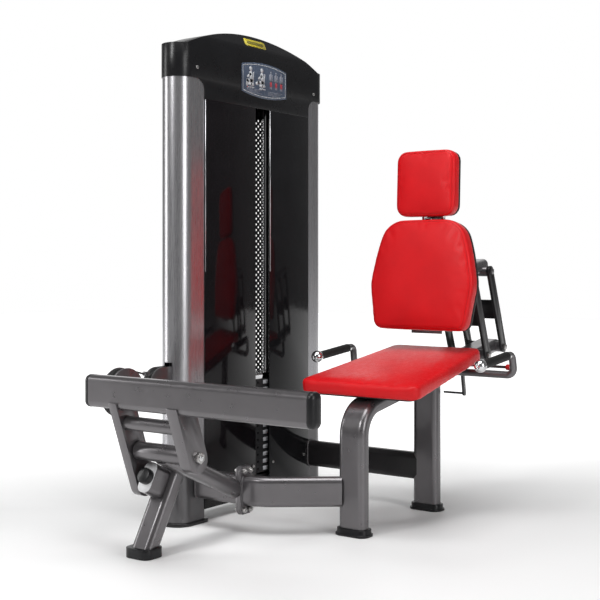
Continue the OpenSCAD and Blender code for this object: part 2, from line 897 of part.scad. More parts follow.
module left_arm() {
    color("gray") difference() {
        yz(left_arm_x, left_arm_x + left_arm_t) arm_shape(left_tail);
        rod_x(left_arm_x - small, left_arm_x + left_arm_t + small, pivot_y, pivot_z, shaft_r);
        rod_x(left_arm_x + left_arm_t - 2, left_arm_x + left_arm_t + small, cross_y, cross_z, cross_r);
    }
}

module right_arm() {
    color("gray") difference() {
        yz(right_arm_x, right_arm_x + arm_t) arm_shape(right_tail);
        rod_x(right_arm_x - small, right_arm_x + arm_t + small, pivot_y, pivot_z, shaft_r);
        rod_x(right_arm_x - small, right_arm_x + 2, cross_y, cross_z, cross_r);
    }
}

module arm_cross_tube() {
    color("silver") difference() {
        rod_x(left_arm_x + left_arm_t - 2, right_arm_x + 2, cross_y, cross_z, cross_r);
        rod_x(left_arm_x, right_arm_x + arm_t, cross_y, cross_z, cross_r - tube_wall);
    }
}

module pivot_shaft() {
    color("silver") {
        rod_x(left_arm_x - 2, right_arm_x + arm_t, pivot_y, pivot_z, shaft_r);
        rod_x(right_arm_x + arm_t, right_arm_x + arm_t + 15, pivot_y, pivot_z, 9);
    }
}

module pivot_nuts() {
    x = right_arm_x + arm_t;
    color("gainsboro") difference() {
        hex_x(x, x + 12, pivot_y, pivot_z, 30);
        rod_x(x - small, x + 13, pivot_y, pivot_z, 9);
    }
}

// Plate behind the left arm and the axle that carries the moving pulley
module pulley_outrigger() {
    x1 = left_arm_x;
    color("gray") {
        yz(x1 - 10, x1) difference() {
            union() {
                translate([arm_pulley_y, arm_pulley_z]) circle(30);
                translate([bar_y + 50, arm_pulley_z - 30]) square([arm_pulley_y - bar_y - 50, 60]);
            }
            translate([bar_y, bar_z]) rrect(tube_short, tube_long, tube_r);
        }
        rod_x(tower_x - 20, x1 - 10, arm_pulley_y, arm_pulley_z, axle_r - run_gap);
        rod_x(tower_x + 19, x1 - 10, arm_pulley_y, arm_pulley_z, 16);
        for (x = [tower_x - 20, tower_x + 16])
            rod_x(x, x + 4, arm_pulley_y, arm_pulley_z, arm_pulley_r + 2);
    }
}

module arm_pulley() {
    color([0.1, 0.1, 0.1]) pulley(arm_pulley_y, arm_pulley_z, arm_pulley_r, axle_r);
}

// ---------- cable ----------

// Angles where the cable's free stretches touch the pulleys
anchor_v = [anchor_y - arm_pulley_y, anchor_z - arm_pulley_z];
touch_top = atan2(anchor_v[1], anchor_v[0]) + acos(arm_cable_r / norm(anchor_v));
centre_v = [column_pulley_y - arm_pulley_y, column_pulley_z - arm_pulley_z];
touch_low = atan2(centre_v[1], centre_v[0]) + asin((arm_cable_r - column_cable_r) / norm(centre_v)) - 90;

module front_cable() {
    wrap = arc_points(arm_pulley_y, arm_pulley_z, arm_cable_r, touch_top, touch_low + 360, 24);
    end = arc_points(column_pulley_y, column_pulley_z, column_cable_r, touch_low, touch_low, 1);
    path = concat([[tower_x, anchor_y + 6, anchor_z - 1]], wrap, [end[0]]);
    color([0.1, 0.1, 0.1]) sweep(path, cable_r, 10, [1, 0, 0]);
}

module tower_cable() {
    low = arc_points(column_pulley_y, column_pulley_z, column_cable_r, touch_low, 0, 8);
    over_front = arc_points(top_front_y, top_pulley_z, top_cable_r, 180, 90, 8);
    over_rear = arc_points(top_rear_y, top_pulley_z, top_cable_r, 90, 0, 8);
    color([0.1, 0.1, 0.1]) sweep(concat(low, over_front, over_rear), cable_r, 10, [1, 0, 0]);
}

module stack_cable() {
    z0 = stack_z1 + head_t + 26;
    color([0.1, 0.1, 0.1]) translate([tower_x, stack_y, z0]) cylinder(r = cable_r, h = top_pulley_z - z0);
}

// ---------- seat ----------

module seat_outline(inset) {
    r = 26;
    hull() for (s = [-1, 1]) {
        translate([s * (seat_front_w / 2 - r - inset), r + inset]) circle(r);
        translate([s * (seat_back_w / 2 - r - inset), seat_len - r - inset]) circle(r);
    }
}

module seat_board() {
    color([0.1, 0.1, 0.1]) on_seat() {
        translate([0, 0, -seat_t - board_t]) linear_extrude(board_t) seat_outline(30);
        // two cross bars under the board, resting on the seat beam
        for (u = [150, 400])
            translate([-110, u - 30, -seat_t - board_t - seat_plate]) cube([220, 60, seat_plate + 1]);
    }
}

module seat_pad() {
    color("red") on_seat() translate([0, 0, -seat_t]) linear_extrude(seat_t) seat_outline(0);
}

// One bent tube: up from the cross bar, round the back and forward to the grip, on each side
module handle_tube() {
    a = [0, 514, 506];
    b = [334, 514, 506];
    c = ball_at + (grip_end - ball_at) * 1.19;
    e = ball_at;
    p = concat([a], round_corner(a, b, c, 26, 8), round_corner(b, c, e, 22, 8), [e]);
    color("dimgray") difference() {
        for (s = [0, 1]) mirror([s, 0, 0]) sweep(p, handle_r, 14, [0.02, 0.3, 1]);
        translate([0, bend_end_y, beam_z(bend_end_y)]) rotate([seat_tilt, 0, 0])
            rotate([-90, 0, 0]) linear_extrude(700) rrect(tube_long, tube_short, tube_r);
    }
}

module hand_grips() {
    a = ball_at + 0.06 * (grip_end - ball_at);
    color([0.08, 0.08, 0.08]) for (s = [0, 1]) mirror([s, 0, 0]) difference() {
        rod_between(a, grip_end, grip_r);
        rod_between(ball_at, grip_end + 0.1 * (grip_end - ball_at), handle_r + 0.1);
        translate(ball_at) sphere(ball_r + 0.1);
    }
}

// Turned ball with a socket for the tube's end and a dimple in its face
module ball_ends() {
    d = grip_end - ball_at;
    color("gainsboro") for (s = [-1, 1])
        translate([s * ball_at[0], ball_at[1], ball_at[2]]) rotate([-acos(d[2] / norm(d)), 0, 0])
            rotate_extrude() difference() {
                circle(ball_r);
                translate([-2 * ball_r, -2 * ball_r]) square([2 * ball_r, 4 * ball_r]);
                square([handle_r + 0.1, 2 * ball_r]);
                translate([-1, -ball_r - 1]) square([8, 6]);
            }
}

// ---------- backrest ----------

// Pins of the lower pivots
module link_pins() {
    color("silver") for (y = [front_pivot_y, rear_pivot_y]) pin_with_heads(y, beam_z(y));
}

module pin_with_heads(y, z) {
    x = link_in + link_t + 0.6;
    rod_x(-x, x, y, z, link_pin_r);
    for (s = [-1, 1]) translate([s * (x + 3.5), 0, 0]) {
        hex_x(-3.5, 3.5, y, z, 22);
    }
}

// A pair of link bars with the black plate that joins them
module links(y, z, top_gap) {
    for (s = [-1, 1]) difference() {
        yz(s > 0 ? link_in : -link_in - link_t, s > 0 ? link_in + link_t : -link_in)
            translate([y, z]) rotate([0, 0, 90 + link_angle]) slot_shape(link_len, link_w / 2);
        rod_x(-200, 200, y, z, link_pin_r + run_gap);
        rod_x(-200, 200, y + link_dy, z + link_dz, link_pin_r + top_gap);
    }
    translate([0, y, z]) rotate([link_angle, 0, 0]) translate([-link_in, -4, link_len * 0.38])
        cube([2 * link_in, 8, 78]);
}

module front_links() {
    color("dimgray") links(front_pivot_y, beam_z(front_pivot_y), run_gap);
}

module rear_links() {
    color("dimgray") links(rear_pivot_y, beam_z(rear_pivot_y), 0.4);
}

// Upper beam with its pivot bosses and pins, and the plate behind the cushions
module back_frame() {
    fy = front_pivot_y + link_dy;
    fz = beam_z(front_pivot_y) + link_dz;
    ry = rear_pivot_y + link_dy;
    rz = beam_z(rear_pivot_y) + link_dz;
    front = 525;
    color("gray") {
        difference() {
            union() {
                translate([0, ry + 34, rz + 34 * tan(seat_tilt) + upper_lift])
                    rotate([seat_tilt, 0, 0]) rotate([90, 0, 0])
                    linear_extrude((ry + 34 - front) / cos(seat_tilt)) rrect(tube_long, tube_short, tube_r);
                rod_x(-boss_half, boss_half, fy, fz, boss_r);
                rod_x(-boss_half, boss_half, ry, rz, boss_r);
            }
            on_back() translate([-100, -100, -200]) cube([200, 100 + back_t + board_t + back_plate_t, 900]);
        }
        pin_with_heads(fy, fz);
        pin_with_heads(ry, rz);
        on_back() translate([-back_plate_half, back_t + board_t, -14])
            cube([2 * back_plate_half, back_plate_t, back_h + 8]);
    }
}

// Backrest and head cushions, each on its board
module back_outline() {
    hull() for (s = [-1, 1]) {
        translate([s * 158, 30]) circle(30);
        translate([s * 52, 150]) circle(150);
        translate([s * 87, back_h - 75]) circle(75);
    }
}

module back_cushions() {
    color("red") {
        on_back() rotate([90, 0, 0]) translate([0, 0, -back_t - board_t])
            linear_extrude(back_t + board_t) back_outline();
        on_head() rotate([90, 0, 0]) translate([0, head_w / 2, -head_t_pad - board_t])
            linear_extrude(head_t_pad + board_t) rrect(head_w, head_w, 34);
    }
}

module headrest_posts() {
    color("gainsboro") {
        for (x = post_x) translate([x, 0, 0])
            rod_between(post_low, post_high, post_r);
        on_head() translate([-62, head_t_pad + board_t, 100]) cube([116, 6, 44]);
    }
}

// Shaft with its crank, link rod and red grip
module release_lever() {
    color("dimgray") {
        rod_x(lever_x0, lever_x1, lever_y, lever_z, lever_r);
        difference() {
            yz(crank_x, crank_x + 8) translate([lever_y, lever_z]) rotate([0, 0, -90 + crank_lean])
                slot_shape(crank_len, 9);
            rod_x(crank_x - small, crank_x + 8 + small, lever_y, lever_z, lever_r);
        }
        rod_x(crank_x, crank_x + 8, lever_y, lever_z, lever_r + 4);
        rod_x(crank_x - 80, crank_x, lever_y + crank_len * sin(crank_lean),
            lever_z - crank_len * cos(crank_lean), 4);
    }
    color("red") rod_x(lever_x1, lever_x1 + 36, lever_y, lever_z, lever_r + 4);
}

front_column();
rear_column();
column_feet();
base_plates();
tower_base();
top_beam();
hood();
placard();
smoked_shield();
dark_shield();
perforated_guard();
frame_fasteners();
guide_rods();
stack_cushions();
resting_weights();
lifted_weights();
selector_rod();
selector_pin();
top_front_pulley();
top_rear_pulley();
main_tube();
flange_plates();
curved_tube();
seat_frame();
lever_bracket();
rear_leg();
rear_cross_tube();
support_arm();
slanted_leg();
pivot_housing();
pivot_bushes();
bumper_block();
bumper();
rubber_feet();
column_bracket();
column_pulley();
foot_bar();
bar_caps();
left_arm();
right_arm();
arm_cross_tube();
pivot_shaft();
pivot_nuts();
pulley_outrigger();
arm_pulley();
front_cable();
tower_cable();
stack_cable();
seat_board();
seat_pad();
handle_tube();
hand_grips();
ball_ends();
link_pins();
front_links();
rear_links();
back_frame();
back_cushions();
headrest_posts();
release_lever();
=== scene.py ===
"""Looks of a seated lower-leg press machine with a weight tower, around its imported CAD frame."""
import json
import math

import bmesh
import bpy
from mathutils import Matrix, Vector
from mathutils.bvhtree import BVHTree


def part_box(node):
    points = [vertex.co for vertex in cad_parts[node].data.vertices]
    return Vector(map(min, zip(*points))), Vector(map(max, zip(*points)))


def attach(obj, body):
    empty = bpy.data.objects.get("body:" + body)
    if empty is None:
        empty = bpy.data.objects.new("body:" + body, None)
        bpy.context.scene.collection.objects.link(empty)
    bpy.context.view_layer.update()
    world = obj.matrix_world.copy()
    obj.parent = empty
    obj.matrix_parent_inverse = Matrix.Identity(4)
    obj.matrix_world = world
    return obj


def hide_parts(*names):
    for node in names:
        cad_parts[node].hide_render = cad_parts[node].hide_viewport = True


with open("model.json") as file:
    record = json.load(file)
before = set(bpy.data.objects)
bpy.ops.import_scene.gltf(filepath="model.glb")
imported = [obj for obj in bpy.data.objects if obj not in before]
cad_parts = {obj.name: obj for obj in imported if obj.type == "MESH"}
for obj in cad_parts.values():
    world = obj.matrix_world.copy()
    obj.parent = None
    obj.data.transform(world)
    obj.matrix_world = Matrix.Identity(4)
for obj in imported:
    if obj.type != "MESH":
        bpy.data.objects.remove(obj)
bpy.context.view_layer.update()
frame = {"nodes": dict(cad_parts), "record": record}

NODES = frame["nodes"]
SLOT_OF = {s["node"]: s["material_slot"] for s in frame["record"]["subparts"]}
BODY_OF = {n: b for b, ns in frame["record"]["behaviour"]["bodies"].items() for n in ns}

# Camera: a level view from the front, to the sitter's left
CAMERA_AT = Vector((2.0333, -3.1190, 0.8929))
CAMERA_YAW = math.radians(35.857)
FOCAL_WIDTHS = 1124.1 / 600          # focal length in image widths
CAMERA_SHIFT = -0.0584
SENSOR = 36.0

# Angles of the padded surfaces
SEAT_TILT = math.radians(9.4)
BACK_LEAN = math.radians(6.0)
HEAD_LEAN = math.radians(2.2)

BOARD = 0.012                        # boards behind the cushions
OUTLINE_STEP = 0.012                 # between the corners of a cushion's outline
HOOD_CREASE = 1.686
CROWN_IN = 0.028


# ---------- materials ----------

def tree_of(name):
    mat = bpy.data.materials.new(name)
    mat.use_nodes = True
    return mat, mat.node_tree, mat.node_tree.nodes["Principled BSDF"]


def place_input(tree, stretch=(1, 1, 1)):
    """Object coordinates in metres, stretched."""
    coords = tree.nodes.new("ShaderNodeTexCoord")
    mapping = tree.nodes.new("ShaderNodeMapping")
    mapping.inputs["Scale"].default_value = stretch
    tree.links.new(coords.outputs["Object"], mapping.inputs["Vector"])
    return mapping.outputs["Vector"]


def noise(tree, scale, detail=3.0, rough=0.55, stretch=(1, 1, 1)):
    node = tree.nodes.new("ShaderNodeTexNoise")
    node.inputs["Scale"].default_value = scale
    node.inputs["Detail"].default_value = detail
    node.inputs["Roughness"].default_value = rough
    tree.links.new(place_input(tree, stretch), node.inputs["Vector"])
    return node.outputs["Fac"]


def cells(tree, scale, feature="DISTANCE_TO_EDGE", stretch=(1, 1, 1)):
    node = tree.nodes.new("ShaderNodeTexVoronoi")
    node.feature = feature
    node.inputs["Scale"].default_value = scale
    tree.links.new(place_input(tree, stretch), node.inputs["Vector"])
    return node.outputs["Distance"]


def spread(tree, value, low, high, source=(0.3, 0.7)):
    """The value's source range mapped to low..high."""
    node = tree.nodes.new("ShaderNodeMapRange")
    node.inputs["From Min"].default_value = source[0]
    node.inputs["From Max"].default_value = source[1]
    node.inputs["To Min"].default_value = low
    node.inputs["To Max"].default_value = high
    tree.links.new(value, node.inputs["Value"])
    return node.outputs["Result"]


def blend_colour(tree, fac, a, b):
    node = tree.nodes.new("ShaderNodeMix")
    node.data_type = "RGBA"
    node.inputs[6].default_value = (*a, 1)
    node.inputs[7].default_value = (*b, 1)
    tree.links.new(fac, node.inputs["Factor"])
    return node.outputs[2]


def bump(tree, height, distance, strength=1.0, after=None):
    node = tree.nodes.new("ShaderNodeBump")
    node.inputs["Distance"].default_value = distance
    node.inputs["Strength"].default_value = strength
    tree.links.new(height, node.inputs["Height"])
    if after is not None:
        tree.links.new(after, node.inputs["Normal"])
    return node.outputs["Normal"]


def finish_surface(tree, shader, colour, rough, normal, **sockets):
    tree.links.new(colour, shader.inputs["Base Color"])
    tree.links.new(rough, shader.inputs["Roughness"])
    if normal is not None:
        tree.links.new(normal, shader.inputs["Normal"])
    for name, value in sockets.items():
        shader.inputs[name.replace("_", " ")].default_value = value


def scaled(colour, k):
    return tuple(c * k for c in colour)


def metal_paint(name, colour, metallic=0.75, rough=(0.27, 0.33), coat=0.3):
    """Metallic stoved paint with a faint mottle in its colour and its gloss."""
    mat, tree, shader = tree_of(name)
    mottle = spread(tree, noise(tree, 6, 5.0), 0, 1)
    base = blend_colour(tree, mottle, scaled(colour, 0.93), scaled(colour, 1.05))
    finish_surface(tree, shader, base, spread(tree, noise(tree, 30, 2.0), *rough), None,
                   Metallic=metallic, Coat_Weight=coat, Coat_Roughness=0.08)
    return mat


def brushed(name, colour, stretch, rough=(0.30, 0.42), metallic=0.9, depth=0.00004):
    """Metal with fine parallel brush marks along the axis that is barely stretched."""
    mat, tree, shader = tree_of(name)
    lines = noise(tree, 900, 3.0, 0.6, stretch)
    broad = noise(tree, 60, 3.0, 0.5, stretch)
    base = blend_colour(tree, spread(tree, broad, 0, 1), scaled(colour, 0.94), scaled(colour, 1.04))
    finish_surface(tree, shader, base, spread(tree, lines, *rough), bump(tree, lines, depth, 0.5),
                   Metallic=metallic)
    return mat


def moulded(name, colour, rough=(0.34, 0.46), grain=900, depth=0.00008, coat=0.0, specular=0.3):
    """Moulded plastic, rubber or powder coat with a fine grain."""
    mat, tree, shader = tree_of(name)
    mottle = spread(tree, noise(tree, 9, 4.0), 0, 1)
    base = blend_colour(tree, mottle, scaled(colour, 0.85), scaled(colour, 1.18))
    finish_surface(tree, shader, base, spread(tree, noise(tree, 45, 4.0), *rough),
                   bump(tree, noise(tree, grain, 2.0), depth, 0.5),
                   Coat_Weight=coat, Coat_Roughness=0.1, Specular_IOR_Level=specular)
    return mat


def polished(name, colour, rough=(0.05, 0.12)):
    """Chrome or ground steel with faint hairline marks."""
    mat, tree, shader = tree_of(name)
    marks = noise(tree, 700, 3.0, 0.6, (1, 1, 0.1))
    base = blend_colour(tree, spread(tree, noise(tree, 20, 3.0), 0, 1), scaled(colour, 0.92), colour)
    finish_surface(tree, shader, base, spread(tree, marks, *rough), bump(tree, marks, 0.00001, 0.3),
                   Metallic=1.0)
    return mat


def vinyl(name, colour):
    """Artificial leather: pebbled grain with fine creases between the pebbles, whose colour is darkened as
    painted shade.
    """
    mat, tree, shader = tree_of(name)
    pebble = cells(tree, 620)
    fine = noise(tree, 1900, 2.0)
    broad = noise(tree, 7, 5.0)
    base = blend_colour(tree, spread(tree, broad, 0, 1), scaled(colour, 0.90), scaled(colour, 1.04))
    # painted shade: the colour is darkened in the creases along the pebbles' edges
    painted_crease_shade = tree.nodes.new("ShaderNodeMix")
    painted_crease_shade.data_type = "RGBA"
    painted_crease_shade.blend_type = "MULTIPLY"
    tree.links.new(spread(tree, pebble, 0.22, 0.0, (0.0, 0.16)), painted_crease_shade.inputs["Factor"])
    tree.links.new(base, painted_crease_shade.inputs[6])
    painted_crease_shade.inputs[7].default_value = (0.62, 0.45, 0.45, 1)
    grain = bump(tree, spread(tree, pebble, 0, 1, (0.0, 0.25)), 0.00016, 0.55)
    grain = bump(tree, fine, 0.00005, 0.4, grain)
    grain = bump(tree, noise(tree, 26, 3.0), 0.0012, 0.35, grain)
    finish_surface(tree, shader, painted_crease_shade.outputs[2], spread(tree, noise(tree, 60, 4.0), 0.34, 0.46), grain,
                   Coat_Weight=0.06, Coat_Roughness=0.22, Specular_IOR_Level=0.24)
    return mat


def smoked_sheet(name, colour, alpha):
    """Tinted gloss sheet with faint polish haze."""
    mat, tree, shader = tree_of(name)
    haze = noise(tree, 14, 5.0)
    base = blend_colour(tree, spread(tree, haze, 0, 1), scaled(colour, 0.8), scaled(colour, 1.25))
    finish_surface(tree, shader, base, spread(tree, noise(tree, 50, 5.0), 0.05, 0.11),
                   bump(tree, noise(tree, 5, 2.0), 0.0006, 0.25),
                   Alpha=alpha, Specular_IOR_Level=0.28)
    return mat


STEEL_GREY = (0.160, 0.152, 0.158)
RED = (0.66, 0.006, 0.010)
MATERIALS = {
    "silver_paint": metal_paint("silver_paint", STEEL_GREY),
    "silver_dark": metal_paint("silver_dark", (0.115, 0.112, 0.116)),
    "column_silver": brushed("column_silver", (0.40, 0.395, 0.41), (1, 1, 0.01), (0.24, 0.34)),
    "black_paint": moulded("black_paint", (0.012, 0.011, 0.012), (0.28, 0.40), 700, 0.0001, 0.15),
    "hood_black": moulded("hood_black", (0.006, 0.006, 0.007), (0.26, 0.34), 1100, 0.00006, 0.06),
    "placard": moulded("placard", (0.060, 0.078, 0.115), (0.22, 0.30), 1500, 0.00002, 0.4),
    "smoked": smoked_sheet("smoked", (0.005, 0.004, 0.005), 0.93),
    "dark_panel": smoked_sheet("dark_panel", (0.008, 0.008, 0.009), 1.0),
    "guard_black": moulded("guard_black", (0.010, 0.010, 0.011), (0.40, 0.55)),
    "screw_steel": brushed("screw_steel", (0.52, 0.51, 0.50), (1, 1, 1), (0.22, 0.38)),
    "rod_chrome": polished("rod_chrome", (0.72, 0.72, 0.73)),
    "rubber_black": moulded("rubber_black", (0.007, 0.007, 0.008), (0.32, 0.42), 500, 0.0001, 0.1),
    "weight_iron": moulded("weight_iron", (0.014, 0.014, 0.015), (0.45, 0.60), 350, 0.0004),
    "pin_red": moulded("pin_red", (0.42, 0.012, 0.012), (0.25, 0.35), 1200, 0.00004, 0.3),
    "pulley_black": moulded("pulley_black", (0.020, 0.020, 0.021), (0.30, 0.42)),
    "bush_brass": polished("bush_brass", (0.55, 0.36, 0.13), (0.22, 0.34)),
    "cable_black": moulded("cable_black", (0.012, 0.012, 0.012), (0.30, 0.45)),
    "board_black": moulded("board_black", (0.014, 0.013, 0.013), (0.42, 0.58), 260, 0.0004),
    "upholstery_red": vinyl("upholstery_red", RED),
    "grip_black": moulded("grip_black", (0.012, 0.012, 0.012), (0.45, 0.62), 420, 0.0004),
    "ball_chrome": polished("ball_chrome", (0.74, 0.74, 0.75)),
    "lever_grey": metal_paint("lever_grey", (0.060, 0.058, 0.060), 0.6),
}
THREAD = moulded("seam_thread", (0.38, 0.006, 0.008), (0.5, 0.65), 2400, 0.0001)
LIGHT_PRINT = moulded("light_print", (0.42, 0.43, 0.45), (0.30, 0.40), 1500, 0.00002)
FAINT_PRINT = moulded("faint_print", (0.20, 0.21, 0.25), (0.3, 0.4), 1500, 0.00002)
RED_PRINT = moulded("red_print", (0.40, 0.03, 0.04), (0.30, 0.40), 1500, 0.00002)
YELLOW_PRINT = moulded("yellow_print", (0.50, 0.42, 0.03), (0.30, 0.42), 1500, 0.00003, 0.2)
OLIVE_PRINT = moulded("olive_print", (0.16, 0.14, 0.02), (0.35, 0.45), 1500, 0.00003)
END_PLATE = moulded("end_plate", (0.72, 0.72, 0.73), (0.30, 0.40), 700, 0.00005)
STRIP_METAL = brushed("strip_metal", (0.55, 0.55, 0.57), (1, 1, 0.02), (0.20, 0.30))
WELD = metal_paint("weld_paint", scaled(STEEL_GREY, 0.9), 0.7, (0.34, 0.5))


# ---------- making pieces ----------

def add(name, mesh, body, slot, material=None, smooth=35):
    """A new piece in the row frame that rides on a body."""
    obj = bpy.data.objects.new(name, mesh)
    bpy.context.scene.collection.objects.link(obj)
    mesh.materials.clear()
    mesh.materials.append(material or MATERIALS[slot])
    for face in mesh.polygons:
        face.use_smooth = True
    if smooth:
        mesh.set_sharp_from_angle(angle=math.radians(smooth))
    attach(obj, body)
    return obj


def mesh_from(name, bm):
    bmesh.ops.recalc_face_normals(bm, faces=bm.faces)
    mesh = bpy.data.meshes.new(name)
    bm.to_mesh(mesh)
    bm.free()
    return mesh


def apply_modifiers(obj):
    graph = bpy.context.evaluated_depsgraph_get()
    made = bpy.data.meshes.new_from_object(obj.evaluated_get(graph))
    old = obj.data
    obj.modifiers.clear()
    obj.data = made
    bpy.data.meshes.remove(old)
    return obj


def softened(node, width, segments=2, angle=30):
    """A copy of a CAD node with its sharp edges bevelled, which stands for it."""
    bm = bmesh.new()
    bm.from_mesh(NODES[node].data)
    bmesh.ops.remove_doubles(bm, verts=bm.verts, dist=2e-5)
    bmesh.ops.dissolve_limit(bm, angle_limit=math.radians(0.4), verts=bm.verts, edges=bm.edges)
    obj = add(node + "_shape", mesh_from(node + "_shape", bm), BODY_OF[node], SLOT_OF[node], smooth=0)
    bevel = obj.modifiers.new("bevel", "BEVEL")
    bevel.width = width
    bevel.segments = segments
    bevel.limit_method = "ANGLE"
    bevel.angle_limit = math.radians(angle)
    bevel.use_clamp_overlap = True
    bpy.context.view_layer.update()
    apply_modifiers(obj)
    obj.data.set_sharp_from_angle(angle=math.radians(40))
    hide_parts(node)
    return obj


def prism(bm, points, along, depth):
    """A closed prism: the polygon's corners and the same ones moved along a direction."""
    shift = Vector(along).normalized() * depth
    low = [bm.verts.new(p) for p in points]
    high = [bm.verts.new(Vector(p) + shift) for p in points]
    bm.faces.new(low)
    bm.faces.new(high[::-1])
    for i in range(len(points)):
        j = (i + 1) % len(points)
        bm.faces.new((low[i], low[j], high[j], high[i]))


def rounded_rect(w, h, r, steps=5):
    """Corners of a rounded rectangle about the origin, anticlockwise."""
    out = []
    for k, (sx, sy) in enumerate(((1, 1), (-1, 1), (-1, -1), (1, -1))):
        for i in range(steps + 1):
            a = math.pi / 2 * (k + i / steps)
            out.append((sx * (w / 2 - r) + r * math.cos(a), sy * (h / 2 - r) + r * math.sin(a)))
    return out


def skin(bm, rings, closed=False):
    """Faces from each ring of corners to the next, and over both ends if the row of rings is open."""
    for a, b in zip(rings, rings[1:] + rings[:1] if closed else rings[1:]):
        for k in range(len(a)):
            j = (k + 1) % len(a)
            bm.faces.new((a[k], a[j], b[j], b[k]))
    if not closed:
        bm.faces.new(rings[0][::-1])
        bm.faces.new(rings[-1])


def tube(bm, path, radius, sides=10, closed=False, wobble=0.0):
    """A round tube along a list of points."""
    count = len(path)
    rings = []
    for i, p in enumerate(path):
        before = path[i - 1] if i or closed else p
        after = path[(i + 1) % count] if i < count - 1 or closed else p
        t = (Vector(after) - Vector(before)).normalized()
        side = t.cross(Vector((0.31, 0.17, 0.94))).normalized()
        up = side.cross(t)
        r = radius * (1 + wobble * math.sin(i * 1.9))
        rings.append([bm.verts.new(Vector(p) + r * (math.cos(a) * side + math.sin(a) * up))
                      for a in (2 * math.pi * k / sides for k in range(sides))])
    skin(bm, rings, closed)


def lathe(bm, profile, start, axis, sides=40):
    """A turned shape: profile is a list of (distance along the axis, radius)."""
    axis = Vector(axis).normalized()
    side = axis.cross(Vector((0.2, 0.1, 1))).normalized()
    up = side.cross(axis)
    rings = []
    for s, r in profile:
        centre = Vector(start) + axis * s
        rings.append([bm.verts.new(centre + max(r, 1e-5) * (math.cos(a) * side + math.sin(a) * up))
                      for a in (2 * math.pi * k / sides for k in range(sides))])
    skin(bm, rings)


# ---------- cushions ----------

def islands(node):
    """The separate solids of a CAD node, as lists of vertex places, lowest first."""
    bm = bmesh.new()
    bm.from_mesh(NODES[node].data)
    bmesh.ops.remove_doubles(bm, verts=bm.verts, dist=2e-5)
    left, out = set(bm.verts), []
    while left:
        stack, found = [left.pop()], []
        while stack:
            v = stack.pop()
            found.append(v.co.copy())
            for e in v.link_edges:
                w = e.other_vert(v)
                if w in left:
                    left.remove(w)
                    stack.append(w)
        out.append(found)
    bm.free()
    return sorted(out, key=lambda vs: min(v.z for v in vs))


def pad_frame(points, lean, seat):
    """Local axes of a pad: x across, y away from its face, z along it.

    Gives the matrix, how deep the face and the back lie along y, and the face's outline."""
    turn = Matrix.Rotation(lean, 3, "X")
    if seat:
        # the face is the top, away from it is down, along it is backwards
        basis = turn @ Matrix(((1, 0, 0), (0, 0, 1), (0, -1, 0)))
    else:
        basis = turn
    local = [basis.inverted() @ p for p in points]
    face = min(p.y for p in local)
    deep = max(p.y for p in local)
    rim = [p for p in local if p.y < face + 0.0005]
    mid = sum((Vector((p.x, p.z)) for p in rim), Vector((0, 0))) / len(rim)
    rim.sort(key=lambda p: math.atan2(p.z - mid.y, p.x - mid.x))
    return basis, face, deep, [Vector((p.x, p.z)) for p in rim]


def inset_outline(outline, distance):
    """The outline moved inwards, each corner along its own normal."""
    out = []
    count = len(outline)
    for i, p in enumerate(outline):
        d = (outline[(i + 1) % count] - outline[i - 1]).normalized()
        out.append(p + Vector((-d.y, d.x)) * distance)
    return out


def even_outline(outline, step):
    """The outline with its corners at even spacing."""
    closed = outline + [outline[0]]
    spans = [(b - a).length for a, b in zip(closed, closed[1:])]
    total = sum(spans)
    count = max(24, int(total / step))
    out, k, gone = [], 0, 0.0
    for i in range(count):
        at = total * i / count
        while gone + spans[k] < at:
            gone += spans[k]
            k += 1
        out.append(closed[k].lerp(closed[k + 1], (at - gone) / max(spans[k], 1e-9)))
    return out


def puffed(obj, pinned, cap, pressure):
    """Swells a closed cover with cloth pressure, holding the pinned points, and applies the result."""
    rest = [v.co.copy() for v in obj.data.vertices]
    group = obj.vertex_groups.new(name="held")
    group.add([i for i, p in enumerate(rest) if pinned(p)], 1.0, "REPLACE")
    cloth = obj.modifiers.new("cloth", "CLOTH")
    setting = cloth.settings
    setting.quality = 4
    setting.mass = 0.25
    setting.tension_stiffness = 60
    setting.compression_stiffness = 60
    setting.shear_stiffness = 30
    setting.bending_stiffness = 8
    setting.use_pressure = True
    setting.uniform_pressure_force = pressure
    setting.vertex_group_mass = group.name
    setting.effector_weights.gravity = 0
    cloth.collision_settings.use_collision = False
    cloth.collision_settings.use_self_collision = False
    for step in range(1, 21):
        bpy.context.scene.frame_set(step)
    graph = bpy.context.evaluated_depsgraph_get()
    swollen = [v.co.copy() for v in obj.evaluated_get(graph).data.vertices]
    obj.modifiers.clear()
    obj.vertex_groups.clear()
    for vert, a, b in zip(obj.data.vertices, rest, swollen):
        move = b - a
        vert.co = a + (move * (cap / move.length) if move.length > cap else move)
    bpy.context.scene.frame_set(1)
    return obj


def sew(name, obj, body, outline, inset, basis, face):
    """A shallow groove round the face, with a thread lying in it."""
    outward = basis @ Vector((0, -1, 0))
    tree = BVHTree.FromObject(obj, bpy.context.evaluated_depsgraph_get())
    seam = []
    for p in even_outline(inset_outline(even_outline(outline, 0.01), inset), 0.004):
        hit = tree.ray_cast(basis @ Vector((p.x, face - 0.1, p.y)), -outward)[0]
        if hit is not None:
            seam.append(hit)
    groove = BVHTree.FromPolygons(*strip_of(seam, outward))
    depth, reach = 0.0011, 0.004
    for vert in obj.data.vertices:
        near = groove.find_nearest(vert.co, 4 * reach)
        if near[0] is not None and (vert.co - near[0]).dot(outward) > -0.02:
            vert.co -= outward * depth * math.exp(-(near[3] / reach) ** 2)
    bm = bmesh.new()
    tube(bm, [p - outward * (depth - 0.0003) for p in seam], 0.0006, 6, closed=True)
    add(name + "_seam", mesh_from(name + "_seam", bm), body, "upholstery_red", THREAD, smooth=0)


